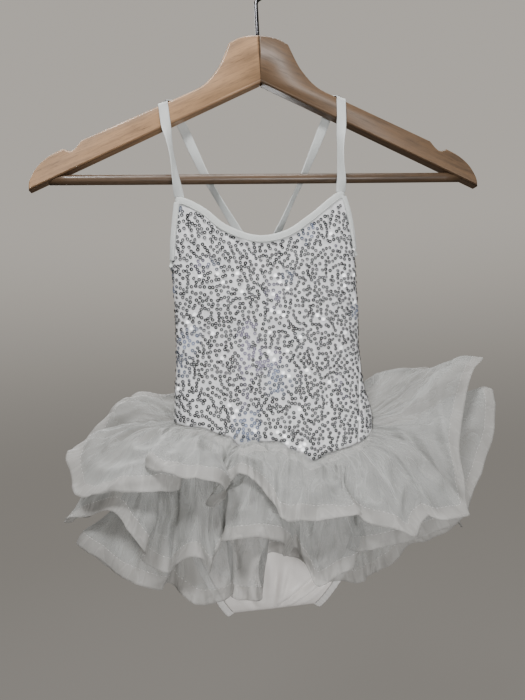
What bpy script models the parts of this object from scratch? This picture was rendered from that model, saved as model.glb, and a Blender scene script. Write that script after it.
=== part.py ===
"""Child's sequinned ballet dress with a layered organza skirt, hung on a wooden hanger.

The frame's origin is the inner top of the hanger's hook, where a rail carries it.
+Z is up, and the dress's front faces -Y. Sizes in this file are in millimetres,
and meshes are made in metres.
"""

import math

import bmesh
import bpy
from mathutils import Vector

MM = 0.001
GAP = 0.3

# Cloth walls
BODICE_WALL = 1.2
BINDING_WALL = 1.8
BINDING_WIDTH = 6.5
ARMHOLE_BINDING_WIDTH = 5.5
BINDING_RISE = 0.5
SKIRT_WALL = 1.0
BRIEF_WALL = 1.2
ELASTIC_WALL = 1.6
ELASTIC_WIDTH = 6.0
STRAP_WIDTH = 9.5
STRAP_WALL = 1.0
SEAM_INSET = 0.4

# Hanger
ARM_THICKNESS = 12.0
ARM_EDGE = 1.0
ARM_LOWER_APEX = -128.0
ARM_LOWER_SLOPE = 0.472
BAR_RADIUS = 4.8
BAR_HEIGHT = -221.3
BAR_HALF_LENGTH = 204.0
BAR_BORE_START = 150.0
WIRE_RADIUS = 2.0
HOOK_RADIUS = 22.0
HOOK_CENTRE = -20.0
STEM_FOOT = -104.0
STEM_BEND_RADIUS = 6.5
HOOK_JOIN = -60.0
STEM_BORE_TOP = -60.0
HOOK_TIP = 205.0

# Upper edge of one arm from the centre to the tip: distance out and height
ARM_CROWN = [(0.15, -82.3), (10.0, -83.0), (20.0, -85.5), (29.4, -90.7)]
ARM_NECK = [(29.4, -90.7), (33.1, -99.3), (38.4, -110.5), (44.0, -119.0),
            (52.2, -128.5), (61.0, -135.0), (78.0, -143.0)]
ARM_NOTCH = [(172.5, -185.7), (178.0, -192.5), (183.0, -195.6), (189.4, -193.6)]
ARM_END = [(189.4, -193.6), (200.0, -199.0), (208.0, -204.8), (214.0, -211.0),
           (218.5, -218.2), (221.3, -225.0), (221.8, -232.2)]

# Body sections: height, left and right edge seen from the front, depth in front and behind
SECTIONS = [
    (-232.0, -89.0, 80.0, 9.0, 9.0),
    (-256.0, -91.0, 84.6, 11.0, 10.0),
    (-287.0, -93.5, 87.0, 13.5, 11.0),
    (-318.0, -94.3, 87.0, 16.0, 12.0),
    (-352.0, -93.6, 87.0, 18.5, 13.5),
    (-392.0, -94.3, 86.2, 21.0, 15.5),
    (-434.0, -98.2, 90.0, 24.0, 18.0),
    (-456.0, -99.2, 96.0, 25.5, 20.0),
    (-500.0, -98.0, 93.0, 26.0, 22.0),
    (-545.0, -92.0, 86.0, 23.0, 20.0),
    (-600.0, -84.0, 72.0, 17.0, 14.0),
    (-655.0, -76.0, 58.0, 9.0, 7.0),
]
SECTION_ROUNDNESS = 0.85

# Height, and how far the right side seam turns towards the front there, in degrees
SEAM_TURN = [(-500.0, 37.0), (-456.0, 34.0), (-434.0, 25.0), (-412.0, 14.0), (-385.0, 2.0), (-340.0, 0.0)]

# Height, and how far each armhole edge turns towards the front there, in degrees
ARMHOLE_LEFT = [(-301.0, 0.0), (-270.0, 5.0), (-241.0, 12.0)]
ARMHOLE_RIGHT = [(-294.0, 0.0), (-265.0, 6.0), (-237.0, 14.0)]
SIDE_TOP_LEFT = -301.0
SIDE_TOP_RIGHT = -294.0

# Finished neck edges: distance across and height
NECKLINE = [(-90.0, -241.5), (-81.0, -241.5), (-60.7, -253.1), (-42.6, -269.0), (-13.4, -280.6),
            (15.4, -276.6), (41.3, -260.7), (71.3, -238.4), (80.0, -237.5)]
BACK_NECKLINE = [(-94.0, -301.0), (-76.0, -327.0), (-42.0, -349.0), (-8.0, -356.0),
                 (24.0, -350.0), (62.0, -324.0), (87.0, -294.0)]

# Waist seam: angle round the body, anticlockwise from above with 0 at the right side, and height
WAIST_SEAM = [(0.0, -467.0), (30.0, -461.0), (60.0, -463.0), (90.0, -468.0), (120.0, -465.0),
              (150.0, -459.0), (180.0, -456.0), (221.0, -460.0), (240.0, -469.0), (248.0, -479.0),
              (256.0, -476.0), (268.0, -477.0), (279.0, -488.0), (288.5, -498.0), (300.0, -492.0),
              (312.0, -489.0), (323.0, -486.0), (336.0, -481.0), (348.0, -475.0)]

# Leg line of the brief: height, left edge and right edge
LEG_LINE = [(-645.0, -52.0, 27.0), (-632.0, -60.0, 37.0), (-600.0, -76.0, 62.0), (-575.0, -86.0, 77.0),
            (-556.0, -91.0, 84.0)]
LEG_TOP = -556.0
CROTCH = -645.0
CROTCH_CURVE = 22.0
CROTCH_INSET = 0.5
ELASTIC_OFFSET = 1.0
BRIEF_DROP = 2.2

# Straps: name, where each crosses the front and the back of its arm, where it ends on the front
# and back neck edge, then the free stretches as distance across, depth, height and twist in degrees
STRAPS = [
    ("strap_left", -95.3, -86.0, -84.4, 16.0,
     [(-86.4, -9.0, -227.0, 24.0), (-88.8, -10.2, -206.0, 48.0), (-91.5, -9.4, -187.0, 34.0),
      (-93.8, -8.2, -170.0, 4.0)],
     [(-77.5, 7.9, -168.2, 0.0), (-60.1, 8.6, -210.6, 26.0), (-45.0, 10.4, -240.0, 44.0),
      (-28.0, 12.4, -269.8, 30.0), (-7.4, 14.2, -309.3, 8.0)]),
    ("strap_right", 80.0, 72.0, 75.4, -29.0,
     [(75.4, -9.0, -225.0, -24.0), (75.2, -10.2, -206.0, -50.0), (76.6, -9.4, -187.0, -34.0),
      (78.9, -8.2, -166.0, -4.0)],
     [(66.4, 7.9, -161.2, 0.0), (42.9, 9.0, -212.2, -26.0), (29.0, 11.6, -240.0, -44.0),
      (15.0, 14.6, -267.6, -30.0), (-7.4, 17.4, -309.3, -8.0)]),
]
STRAP_CLEARANCE = 0.4
ARM_SHOULDER = (78.0, -143.0)
ARM_SHOULDER_SLOPE = 0.4518

# Hem of the top skirt layer: angle round the body, then length and pitch below level
# at each crest or valley of the hem
HEM_FOLDS = [
    (5.0, 144.0, -3.0), (15.0, 142.0, -20.0), (27.0, 126.0, -18.0), (40.0, 104.0, -24.0),
    (58.0, 88.0, -10.0), (70.0, 82.0, -44.0), (85.0, 86.0, -64.0), (100.0, 82.0, -50.0),
    (115.0, 84.0, -58.0), (130.0, 82.0, -34.0), (148.0, 88.0, -16.0), (162.0, 94.0, 6.0),
    (176.0, 102.0, 16.0), (188.0, 108.0, 34.0), (200.0, 82.0, 26.0), (214.0, 76.0, 36.0),
    (224.0, 62.0, 20.0), (234.0, 78.0, 12.0), (244.0, 76.0, 30.0), (255.0, 68.0, 2.0),
    (267.0, 86.0, 30.0), (276.0, 88.0, 20.0), (285.0, 84.0, 33.0), (295.0, 92.0, 24.0),
    (307.0, 100.0, 44.0), (318.0, 108.0, 36.0), (327.0, 104.0, 52.0), (337.0, 122.0, 36.0),
    (346.0, 128.0, 38.0), (356.0, 132.0, 14.0)]

# The two layers beneath: angle, extra pitch of the middle and bottom layer, extra length of each
LAYERS_BENEATH = [
    (0.0, 24.0, 50.0, 8.0, 0.0), (30.0, 36.0, 72.0, 2.0, -8.0), (60.0, 72.0, 100.0, 8.0, 14.0),
    (90.0, 128.0, 142.0, 12.0, 26.0), (120.0, 100.0, 125.0, 14.0, 28.0), (150.0, 40.0, 70.0, 22.0, 30.0),
    (180.0, 22.0, 42.0, 30.0, 34.0), (225.0, 26.0, 52.0, 38.0, 60.0), (252.0, 26.0, 54.0, 26.0, 52.0),
    (276.0, 24.0, 50.0, 16.0, 6.0), (298.0, 20.0, 42.0, 10.0, 14.0), (322.0, 18.0, 36.0, -10.0, -26.0),
    (342.0, 18.0, 38.0, -4.0, -26.0)]
LAYER_SEAM_STEP = 8.5
SKIRT_DROP = 2.0
SKIRT_STANDOFF = 1.5
SPRING = 0.4
BOX_FOLD = 0.30
DOOR_SIDE_START = 26.0
DOOR_SIDE_ROOM = 42.0
POINTS_PER_HALF_FOLD = 4
SKIRT_ROWS = 4

# How finely the curved pieces are divided
PANEL_COLUMNS = 24
SEAM_ROWS = 8
CHEST_ROWS = 4
ARMHOLE_STEPS = 8
STRAP_STEPS = 3
STRAP_FADE_STEPS = 6
STRAP_SQUARE_STEPS = 4
BRIEF_ROWS = 10
BRIEF_ROW_CROWDING = 1.5
LEG_STEPS = 14
LEG_STEP_CROWDING = 1.2
BEND_STEPS = 4
HOOK_STEPS = 16
BAR_SIDES = 20
CUTTER_SIDES = 24

# First guesses and passes for the height of a panel's edge
WAIST_GUESS = -475.0
NECK_GUESS = -300.0
EDGE_PASSES = 6

# Lean of the leg elastic's first section at the side seam
LEG_TOP_LEAN = 0.3


def read_table(rows, key):
    """Read every column of a table at a key, on a smooth curve through its rows."""
    rows = sorted(rows)
    if key <= rows[0][0]:
        return rows[0][1:]
    if key >= rows[-1][0]:
        return rows[-1][1:]
    index = max(i for i, row in enumerate(rows) if row[0] <= key)
    before = rows[max(index - 1, 0)]
    low = rows[index]
    high = rows[index + 1]
    after = rows[min(index + 2, len(rows) - 1)]
    span = high[0] - low[0]
    t = (key - low[0]) / span
    values = []
    for column in range(1, len(low)):
        slope_low = (high[column] - before[column]) / (high[0] - before[0]) * span
        slope_high = (after[column] - low[column]) / (after[0] - low[0]) * span
        values.append((2 * t**3 - 3 * t**2 + 1) * low[column] + (t**3 - 2 * t**2 + t) * slope_low
                      + (3 * t**2 - 2 * t**3) * high[column] + (t**3 - t**2) * slope_high)
    return tuple(values)


def read_round_table(rows, angle):
    """Read every column of a table that closes round the body, easing between its rows."""
    for index, row in enumerate(rows):
        after = rows[(index + 1) % len(rows)]
        span = (after[0] - row[0]) % 360.0
        offset = (angle - row[0]) % 360.0
        if offset < span:
            ease = 0.5 - 0.5 * math.cos(math.pi * offset / span)
            return tuple(low + (high - low) * ease for low, high in zip(row[1:], after[1:]))
    return rows[0][1:]


def smooth_path(points, steps):
    """Return points on a smooth curve through a list of tuples of any length."""
    table = [(float(index),) + tuple(point) for index, point in enumerate(points)]
    count = (len(points) - 1) * steps
    return [read_table(table, index / steps) for index in range(count + 1)]


def section_point(height, angle, out=0.0):
    """Return a point of the body's section at a height and angle, moved out from the cloth."""
    left, right, front, back = read_table(SECTIONS, height)

    def on_section(turn):
        sine = math.sin(math.radians(turn))
        depth = back if sine > 0 else -front
        across = (left + right) / 2 + (right - left) / 2 * math.cos(math.radians(turn))
        return Vector((across, depth * abs(sine) ** SECTION_ROUNDNESS, height))

    point = on_section(angle)
    if out:
        along = on_section(angle + 0.5) - on_section(angle - 0.5)
        point += Vector((along.y, -along.x, 0.0)).normalized() * out
    return point


def angle_along(height, start, end, distance=None, fraction=None):
    """Return the angle at a distance or fraction of the section's arc between two angles."""
    steps = 36
    angles = [start + (end - start) * index / steps for index in range(steps + 1)]
    points = [section_point(height, angle) for angle in angles]
    lengths = [0.0]
    for first, second in zip(points, points[1:]):
        lengths.append(lengths[-1] + (second - first).length)
    if distance is None:
        distance = SEAM_INSET + fraction * (lengths[-1] - 2 * SEAM_INSET)
    for index in range(steps):
        if lengths[index + 1] >= distance:
            share = (distance - lengths[index]) / (lengths[index + 1] - lengths[index])
            return angles[index] + (angles[index + 1] - angles[index]) * share
    return end


def waist_height(angle):
    """Return the waist seam's height at an angle round the body."""
    return read_round_table(WAIST_SEAM, angle)[0]


def front_edges(height):
    """Return the angles of the front panel's left and right edge at a height."""
    left = 180.0 + read_table(ARMHOLE_LEFT, height)[0]
    right = 360.0 - read_table(SEAM_TURN, height)[0] - read_table(ARMHOLE_RIGHT, height)[0]
    return left, right


def back_edges(height):
    """Return the angles of the back panel's right and left edge at a height."""
    return -read_table(SEAM_TURN, height)[0], 180.0


def column_fractions(count):
    """Return fractions across a panel, closer together towards its side seams."""
    shares = [index / count for index in range(count + 1)]
    return [(share + 0.5 - 0.5 * math.cos(math.pi * share)) / 2 for share in shares]


def panel_column(edges, neckline, fraction):
    """Return the lowest and highest height of a panel at a fraction of its width."""
    low = WAIST_GUESS
    high = NECK_GUESS
    for _ in range(EDGE_PASSES):
        low = waist_height(angle_along(low, *edges(low), fraction=fraction))
        angle = angle_along(high, *edges(high), fraction=fraction)
        high = read_table(neckline, section_point(high, angle).x)[0]
    return low, high


def panel_point(edges, height, fraction, out=0.0):
    """Return a point of a bodice panel, moved out from it."""
    angle = angle_along(height, *edges(height), fraction=fraction)
    return section_point(height, angle, out)


def make_material(name, colour, roughness, metallic=0.0):
    """Make a plain material."""
    material = bpy.data.materials.new(name)
    material.use_nodes = True
    shader = material.node_tree.nodes["Principled BSDF"]
    shader.inputs["Base Color"].default_value = (*colour, 1.0)
    shader.inputs["Roughness"].default_value = roughness
    shader.inputs["Metallic"].default_value = metallic
    return material


def add_object(name, mesh, material, collection):
    """Add a mesh as a named object with its material."""
    mesh.materials.clear()
    mesh.materials.append(material)
    part = bpy.data.objects.new(name, mesh)
    collection.objects.link(part)
    return part


def add_wall(name, grid, thickness, material, collection, ring=False):
    """Make a cloth wall from rows of points, closed round its columns where it is a ring."""
    rows = len(grid)
    columns = len(grid[0])
    shell = bmesh.new()
    verts = [[shell.verts.new(Vector(point) * MM) for point in row] for row in grid]
    for row in range(rows - 1):
        for column in range(columns if ring else columns - 1):
            after = (column + 1) % columns
            shell.faces.new((verts[row][column], verts[row][after],
                             verts[row + 1][after], verts[row + 1][column]))
    mesh = bpy.data.meshes.new(name)
    shell.to_mesh(mesh)
    shell.free()
    mesh.shade_smooth()
    part = add_object(name, mesh, material, collection)
    wall = part.modifiers.new("wall", "SOLIDIFY")
    wall.thickness = thickness * MM
    wall.offset = 0.0
    return part


def curve_mesh(curve, name):
    """Turn a filled or bevelled curve into a welded mesh in world space."""
    holder = bpy.data.objects.new(name, curve)
    bpy.context.scene.collection.objects.link(holder)
    graph = bpy.context.evaluated_depsgraph_get()
    mesh = bpy.data.meshes.new_from_object(holder.evaluated_get(graph))
    bpy.data.objects.remove(holder)
    welded = bmesh.new()
    welded.from_mesh(mesh)
    bmesh.ops.remove_doubles(welded, verts=welded.verts, dist=0.00001)
    welded.to_mesh(mesh)
    welded.free()
    return mesh


def arm_outline(side):
    """Return one hanger arm's outline as points across and up."""
    points = []
    for stretch in (ARM_CROWN, ARM_NECK, ARM_NOTCH, ARM_END):
        table = smooth_path(stretch, 1)
        points += table if not points or table[0] != points[-1] else table[1:]
    points.append((0.15, ARM_LOWER_APEX - ARM_LOWER_SLOPE * 0.15))
    return [(side * x, z) for x, z in points]


def add_cutter(name, radius, start, end, collection):
    """Add a round cutter between two points, kept out of the part."""
    axis = (Vector(end) - Vector(start)) * MM
    bpy.ops.mesh.primitive_cylinder_add(vertices=CUTTER_SIDES, radius=radius * MM, depth=axis.length)
    cutter = bpy.context.object
    cutter.name = name
    cutter.location = (Vector(start) + Vector(end)) / 2 * MM
    cutter.rotation_mode = "QUATERNION"
    cutter.rotation_quaternion = axis.to_track_quat("Z", "Y")
    cutter.hide_render = True
    cutter.display_type = "WIRE"
    for owner in cutter.users_collection:
        owner.objects.unlink(cutter)
    collection.objects.link(cutter)
    return cutter


def build_hanger(parts, cutters):
    """Build the two arms, the trouser bar and the hook."""
    wood = make_material("hanger_wood", (0.52, 0.34, 0.21), 0.4)
    chrome = make_material("hook_chrome", (0.55, 0.55, 0.56), 0.2, 1.0)
    stem_foot = (0, 0, STEM_FOOT - GAP)
    stem_top = (0, 0, STEM_BORE_TOP)
    stem_bore = add_cutter("stem_bore", WIRE_RADIUS + GAP, stem_foot, stem_top, cutters)
    for side, word in ((-1, "left"), (1, "right")):
        outline = arm_outline(side)
        curve = bpy.data.curves.new("arm_outline", "CURVE")
        curve.dimensions = "2D"
        curve.fill_mode = "BOTH"
        curve.extrude = ARM_THICKNESS / 2 * MM
        spline = curve.splines.new("POLY")
        spline.points.add(len(outline) - 1)
        for point, (x, z) in zip(spline.points, outline):
            point.co = (x * MM, z * MM, 0.0, 1.0)
        spline.use_cyclic_u = True
        mesh = curve_mesh(curve, "arm_outline")
        for vertex in mesh.vertices:
            vertex.co = (vertex.co.x, -vertex.co.z, vertex.co.y)
        arm = add_object("hanger_arm_" + word, mesh, wood, parts)
        edge = arm.modifiers.new("rounded_edges", "BEVEL")
        edge.width = ARM_EDGE * MM
        edge.segments = 2
        edge.limit_method = "ANGLE"
        edge.angle_limit = math.radians(60)
        edge.use_clamp_overlap = False
        bar_bore = add_cutter("bar_bore_" + word, BAR_RADIUS + GAP,
                              (side * BAR_BORE_START, 0, BAR_HEIGHT),
                              (side * (BAR_HALF_LENGTH + GAP), 0, BAR_HEIGHT), cutters)
        for cutter in (bar_bore, stem_bore):
            cut = arm.modifiers.new(cutter.name, "BOOLEAN")
            cut.operation = "DIFFERENCE"
            cut.solver = "EXACT"
            cut.object = cutter

    length = 2 * BAR_HALF_LENGTH * MM
    bpy.ops.mesh.primitive_cylinder_add(vertices=BAR_SIDES, radius=BAR_RADIUS * MM, depth=length)
    bar = bpy.context.object
    bar.name = "hanger_bar"
    bar.rotation_euler = (0, math.radians(90), 0)
    bar.location = (0, 0, BAR_HEIGHT * MM)
    bar.data.materials.append(wood)
    for owner in bar.users_collection:
        owner.objects.unlink(bar)
    parts.objects.link(bar)

    add_wire("hanger_hook", hook_path(), chrome, parts)


def hook_path():
    """Return the hook's centre line: straight stem, a bend, then the round hook."""
    join = math.radians(HOOK_JOIN)
    heading = math.radians(-HOOK_JOIN)
    join_x = HOOK_RADIUS * math.cos(join)
    join_z = HOOK_CENTRE + HOOK_RADIUS * math.sin(join)
    bend_x = STEM_BEND_RADIUS * (1 - math.cos(heading))
    bend_z = STEM_BEND_RADIUS * math.sin(heading)
    run = (join_x - bend_x) / math.sin(heading)
    bend_start = join_z - run * math.cos(heading) - bend_z
    path = [(0, 0, STEM_FOOT)]
    for step in range(BEND_STEPS + 1):
        turn = heading * step / BEND_STEPS
        across = STEM_BEND_RADIUS * (1 - math.cos(turn))
        path.append((across, 0, bend_start + STEM_BEND_RADIUS * math.sin(turn)))
    for step in range(HOOK_STEPS + 1):
        turn = math.radians(HOOK_JOIN + (HOOK_TIP - HOOK_JOIN) * step / HOOK_STEPS)
        path.append((HOOK_RADIUS * math.cos(turn), 0, HOOK_CENTRE + HOOK_RADIUS * math.sin(turn)))
    return path


def add_wire(name, path, material, collection):
    """Make a round wire with closed ends along a path."""
    curve = bpy.data.curves.new(name, "CURVE")
    curve.dimensions = "3D"
    curve.bevel_depth = WIRE_RADIUS * MM
    curve.bevel_resolution = 2
    curve.use_fill_caps = True
    spline = curve.splines.new("POLY")
    spline.points.add(len(path) - 1)
    for point, place in zip(spline.points, path):
        point.co = (*(Vector(place) * MM), 1.0)
    mesh = curve_mesh(curve, name)
    mesh.shade_smooth()
    return add_object(name, mesh, material, collection)


def build_bodice(parts, cloth, binding):
    """Build the front and back panels and the bindings that lie on their edges."""
    lie = BODICE_WALL / 2 + GAP + BINDING_WALL / 2
    for name, edges, neckline in (("bodice_front", front_edges, NECKLINE),
                                  ("bodice_back", back_edges, BACK_NECKLINE)):
        columns = column_fractions(PANEL_COLUMNS)
        limits = [panel_column(edges, neckline, fraction) for fraction in columns]
        grid = []
        for row in range(SEAM_ROWS + 1):
            line = []
            for fraction, (low, high) in zip(columns, limits):
                seam_top = high
                if edges is front_edges:
                    seam_top = SIDE_TOP_LEFT + (SIDE_TOP_RIGHT - SIDE_TOP_LEFT) * fraction
                line.append(panel_point(edges, low + (seam_top - low) * row / SEAM_ROWS, fraction))
            grid.append(line)
        if edges is front_edges:
            for row in range(1, CHEST_ROWS + 1):
                grid.append([panel_point(edges, last.z + (high - last.z) * row / CHEST_ROWS, fraction)
                             for fraction, (low, high), last in zip(columns, limits, grid[SEAM_ROWS])])
        add_wall(name, grid, BODICE_WALL, cloth, parts)
        band = []
        for drop in (BINDING_WIDTH, BINDING_WIDTH / 2, -BINDING_RISE):
            band.append([panel_point(edges, high - drop, fraction, lie)
                         for fraction, (low, high) in zip(columns, limits)])
        band_name = "neck_binding" if edges is front_edges else "back_binding"
        add_wall(band_name, band, BINDING_WALL, binding, parts)

    sides = (("left", SIDE_TOP_LEFT, NECKLINE[0][1]), ("right", SIDE_TOP_RIGHT, NECKLINE[-1][1]))
    for word, side_top, neck_end in sides:
        bottom = side_top + BINDING_RISE + 3 * GAP
        top = neck_end - BINDING_WIDTH - 2 * GAP
        grid = []
        for step in range(ARMHOLE_STEPS + 1):
            height = bottom + (top - bottom) * step / ARMHOLE_STEPS
            left, right = front_edges(height)
            start, end = (left, right) if word == "left" else (right, left)
            row = []
            for distance in (0.0, ARMHOLE_BINDING_WIDTH / 2, ARMHOLE_BINDING_WIDTH):
                row.append(section_point(height, angle_along(height, start, end, distance=distance), lie))
            grid.append(row if word == "left" else row[::-1])
        add_wall("armhole_binding_" + word, grid, BINDING_WALL, binding, parts)


def strap_over_arm(front_x, back_x):
    """Return the strap's stretch that lies on the arm, from its front face to its back face."""
    lift = STRAP_WALL / 2 + STRAP_CLEARANCE
    corner = ARM_EDGE + lift
    corner_depth = ARM_THICKNESS / 2 - ARM_EDGE
    steepness = math.hypot(1.0, ARM_SHOULDER_SLOPE)
    rows = []
    for side in (-1, 1):
        turns = (0.0, 35.0, 65.0, 90.0) if side < 0 else (90.0, 65.0, 35.0, 0.0)
        for turn in turns:
            depth = side * (corner_depth + corner * math.cos(math.radians(turn)))
            rise = (corner * math.sin(math.radians(turn)) - ARM_EDGE) * steepness
            share = min(max((depth + corner_depth) / (2 * corner_depth), 0.0), 1.0)
            across = front_x + (back_x - front_x) * share
            top = ARM_SHOULDER[1] - (abs(across) - ARM_SHOULDER[0]) * ARM_SHOULDER_SLOPE
            rows.append((across, depth, top + rise, 0.0))
    return rows


def strap_seat(across, neckline, front):
    """Return the strap's end, just above the finished neck edge."""
    edge = max(read_table(neckline, across + side * STRAP_WIDTH / 2)[0] for side in (-1, 0, 1))
    height = edge + BINDING_RISE + STRAP_CLEARANCE
    left, right, _, _ = read_table(SECTIONS, height)
    angle = math.degrees(math.acos((across - (left + right) / 2) / ((right - left) / 2)))
    place = section_point(height, 360.0 - angle if front else angle, STRAP_WALL)
    return (across, place.y, height, 0.0)


def build_straps(parts, elastic):
    """Build the two straps, flat on the hanger's arms and half turned between."""
    for name, front_x, back_x, front_end, back_end, front_rows, back_rows in STRAPS:
        over = strap_over_arm(front_x, back_x)
        front = smooth_path([strap_seat(front_end, NECKLINE, True)] + front_rows + over[:1], STRAP_STEPS)
        back_seat = strap_seat(back_end, BACK_NECKLINE, False)
        back = smooth_path(over[-1:] + back_rows + [back_seat], STRAP_STEPS)
        path = front[:-1] + over + back[1:]
        slope = Vector((1.0, 0.0, -math.copysign(ARM_SHOULDER_SLOPE, front_x))).normalized()
        level = Vector((1.0, 0.0, 0.0))
        grid = [[], []]
        for index, (x, y, z, twist) in enumerate(path):
            centre = Vector((x, y, z))
            along = Vector(path[min(index + 1, len(path) - 1)][:3]) - Vector(path[max(index - 1, 0)][:3])
            along.normalize()
            on_arm = len(front) - 1 <= index < len(front) - 1 + len(over)
            if on_arm:
                across = slope
            else:
                past = len(front) - 1 - index if index < len(front) else index - (len(path) - len(back))
                share = min(past / STRAP_FADE_STEPS, 1.0)
                across = slope.lerp(level, share)
                square = min(index, len(path) - 1 - index, STRAP_SQUARE_STEPS) / STRAP_SQUARE_STEPS
                across = (across - along * across.dot(along) * share * square).normalized()
            turned = (across * math.cos(math.radians(twist))
                      + along.cross(across) * math.sin(math.radians(twist)))
            grid[0].append(centre - turned * STRAP_WIDTH / 2)
            grid[1].append(centre + turned * STRAP_WIDTH / 2)
        add_wall(name, grid, STRAP_WALL, elastic, parts)


def skirt_point(layer, fold, t, share):
    """Return a point of a skirt layer: fold index, place across the half fold, share of its length."""
    row = HEM_FOLDS[fold]
    after = HEM_FOLDS[(fold + 1) % len(HEM_FOLDS)]
    span = (after[0] - row[0]) % 360.0
    ease = 0.5 - 0.5 * math.cos(math.pi * t)
    angle = row[0] + span * (t + BOX_FOLD / math.pi * math.sin(2 * math.pi * t) * share)
    length = row[1] + (after[1] - row[1]) * ease
    pitch = row[2] + (after[2] - row[2]) * ease
    beneath = read_round_table(LAYERS_BENEATH, row[0] + span * t)
    if layer:
        pitch += beneath[layer - 1]
        length += beneath[layer + 1]
    height = waist_height(row[0] + span * t)
    start = section_point(height - SKIRT_DROP - LAYER_SEAM_STEP * layer, angle, SKIRT_STANDOFF)
    lean = math.radians(pitch * (SPRING + (1 - SPRING) * share))
    reach = length * share
    way = Vector((math.cos(math.radians(angle)), math.sin(math.radians(angle)), 0.0))
    point = start + way * (reach * math.cos(lean)) - Vector((0.0, 0.0, reach * math.sin(lean)))
    if point.y > DOOR_SIDE_START:
        past = (point.y - DOOR_SIDE_START) / DOOR_SIDE_ROOM
        point.y = DOOR_SIDE_START + DOOR_SIDE_ROOM * (1 - math.exp(-past))
    return point


def build_skirt(parts, organza):
    """Build the three gathered layers of the skirt as rings round the waist."""
    for layer, name in enumerate(("skirt_top", "skirt_middle", "skirt_bottom")):
        grid = []
        for row in range(SKIRT_ROWS + 1):
            ring = []
            for fold in range(len(HEM_FOLDS)):
                for step in range(POINTS_PER_HALF_FOLD):
                    ring.append(skirt_point(layer, fold, step / POINTS_PER_HALF_FOLD, row / SKIRT_ROWS))
            grid.append(ring)
        add_wall(name, grid[::-1], SKIRT_WALL, organza, parts, ring=True)


def brief_depth_share(height):
    """Return how much of its depth the brief keeps near the crotch, where front and back meet."""
    rise = min(max((height - CROTCH) / CROTCH_CURVE, 0.0), 1.0)
    return math.sqrt(max(1.0 - (1.0 - rise) ** 2, 0.0))


def brief_point(height, fraction, front):
    """Return a point of the brief's front or back, its edge on the side seam or the leg line."""
    left, right, _, _ = read_table(SECTIONS, height)
    middle = (left + right) / 2
    half = (right - left) / 2
    leg_left, leg_right = read_table(LEG_LINE, height)
    if height >= LEG_TOP:
        left_angle, right_angle = 180.0, 0.0
    else:
        left_angle = math.degrees(math.acos(max((leg_left - middle) / half, -1.0)))
        right_angle = math.degrees(math.acos(min((leg_right - middle) / half, 1.0)))
    if front:
        start, end = 360.0 - left_angle, 360.0 - right_angle
    else:
        start, end = right_angle, left_angle
    point = section_point(height, angle_along(height, start, end, fraction=fraction))
    depth = point.y * brief_depth_share(height)
    point.y = min(depth, -CROTCH_INSET) if front else max(depth, CROTCH_INSET)
    return point


def build_brief(parts, satin, elastic):
    """Build the brief's two panels and the elastic round each leg."""
    columns = column_fractions(PANEL_COLUMNS)
    for name, front in (("brief_front", True), ("brief_back", False)):
        limits = []
        for fraction in columns:
            top = WAIST_GUESS
            for _ in range(EDGE_PASSES):
                point = brief_point(top, fraction, front)
                left, right, _, _ = read_table(SECTIONS, top)
                cosine = (point.x - (left + right) / 2) / ((right - left) / 2)
                angle = math.degrees(math.acos(min(max(cosine, -1.0), 1.0)))
                top = waist_height(360.0 - angle if point.y < 0 else angle) - BRIEF_DROP
            limits.append(top)
        grid = []
        for row in range(BRIEF_ROWS + 1):
            ring = []
            for fraction, top in zip(columns, limits):
                height = CROTCH + (top - CROTCH) * (row / BRIEF_ROWS) ** BRIEF_ROW_CROWDING
                ring.append(brief_point(height, fraction, front))
            grid.append(ring)
        add_wall(name, grid, BRIEF_WALL, satin, parts)

    steps = LEG_STEPS
    for word, column, side in (("left", 0, -1), ("right", 1, 1)):
        line = []
        for step in range(steps + 1):
            height = LEG_TOP + (CROTCH - LEG_TOP) * math.sin(math.pi / 2 * step / steps) ** LEG_STEP_CROWDING
            line.append(Vector((read_table(LEG_LINE, height)[column], height)))
        ring = []
        for front, order in ((True, range(steps + 1)), (False, range(steps - 1, 0, -1))):
            for step in order:
                before = line[max(step - 1, 0)]
                after = line[min(step + 1, steps)]
                along = (after - before).normalized()
                away = Vector((-along.y, along.x)) * side
                if step == 0:
                    away = Vector((side * LEG_TOP_LEAN, -1.0)).normalized()
                height = line[step].y
                edge = brief_point(max(height, CROTCH), 0.0 if (front == (side < 0)) else 1.0, front)
                ring.append((line[step], away, edge.y))
        grid = [[], []]
        for place, away, depth in ring:
            near = place + away * ELASTIC_OFFSET
            far = place + away * (ELASTIC_OFFSET + ELASTIC_WIDTH)
            grid[0].append((near.x, depth, near.y))
            grid[1].append((far.x, depth, far.y))
        add_wall("leg_elastic_" + word, grid, ELASTIC_WALL, elastic, parts, ring=True)


def main():
    """Clear the file and build every part."""
    for old in list(bpy.data.objects):
        bpy.data.objects.remove(old)
    parts = bpy.data.collections.new("ballet_dress_on_hanger")
    cutters = bpy.data.collections.new("cutters")
    for collection in (parts, cutters):
        bpy.context.scene.collection.children.link(collection)
    sequinned = make_material("sequinned_jersey", (0.78, 0.80, 0.82), 0.35)
    binding = make_material("binding", (0.72, 0.74, 0.73), 0.6)
    elastic = make_material("elastic", (0.74, 0.75, 0.74), 0.6)
    organza = make_material("organza", (0.70, 0.72, 0.72), 0.5)
    satin = make_material("brief_satin", (0.82, 0.80, 0.78), 0.35)
    build_hanger(parts, cutters)
    build_bodice(parts, sequinned, binding)
    build_straps(parts, elastic)
    build_skirt(parts, organza)
    build_brief(parts, satin, elastic)


main()
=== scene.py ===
"""Looks of a ballet dress on a wooden hanger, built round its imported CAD.

The frame is the CAD's: the origin is the inner top of the hanger's hook, +Z is up and the
dress faces -Y. Sizes are in millimetres unless a name ends in _m, and meshes are in metres.
"""

import bisect
import logging
import math
import random
from collections.abc import Callable, Iterable, Sequence
from dataclasses import dataclass, field
from enum import Enum

import bmesh
import bpy
from mathutils import Matrix, Vector, noise


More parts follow.
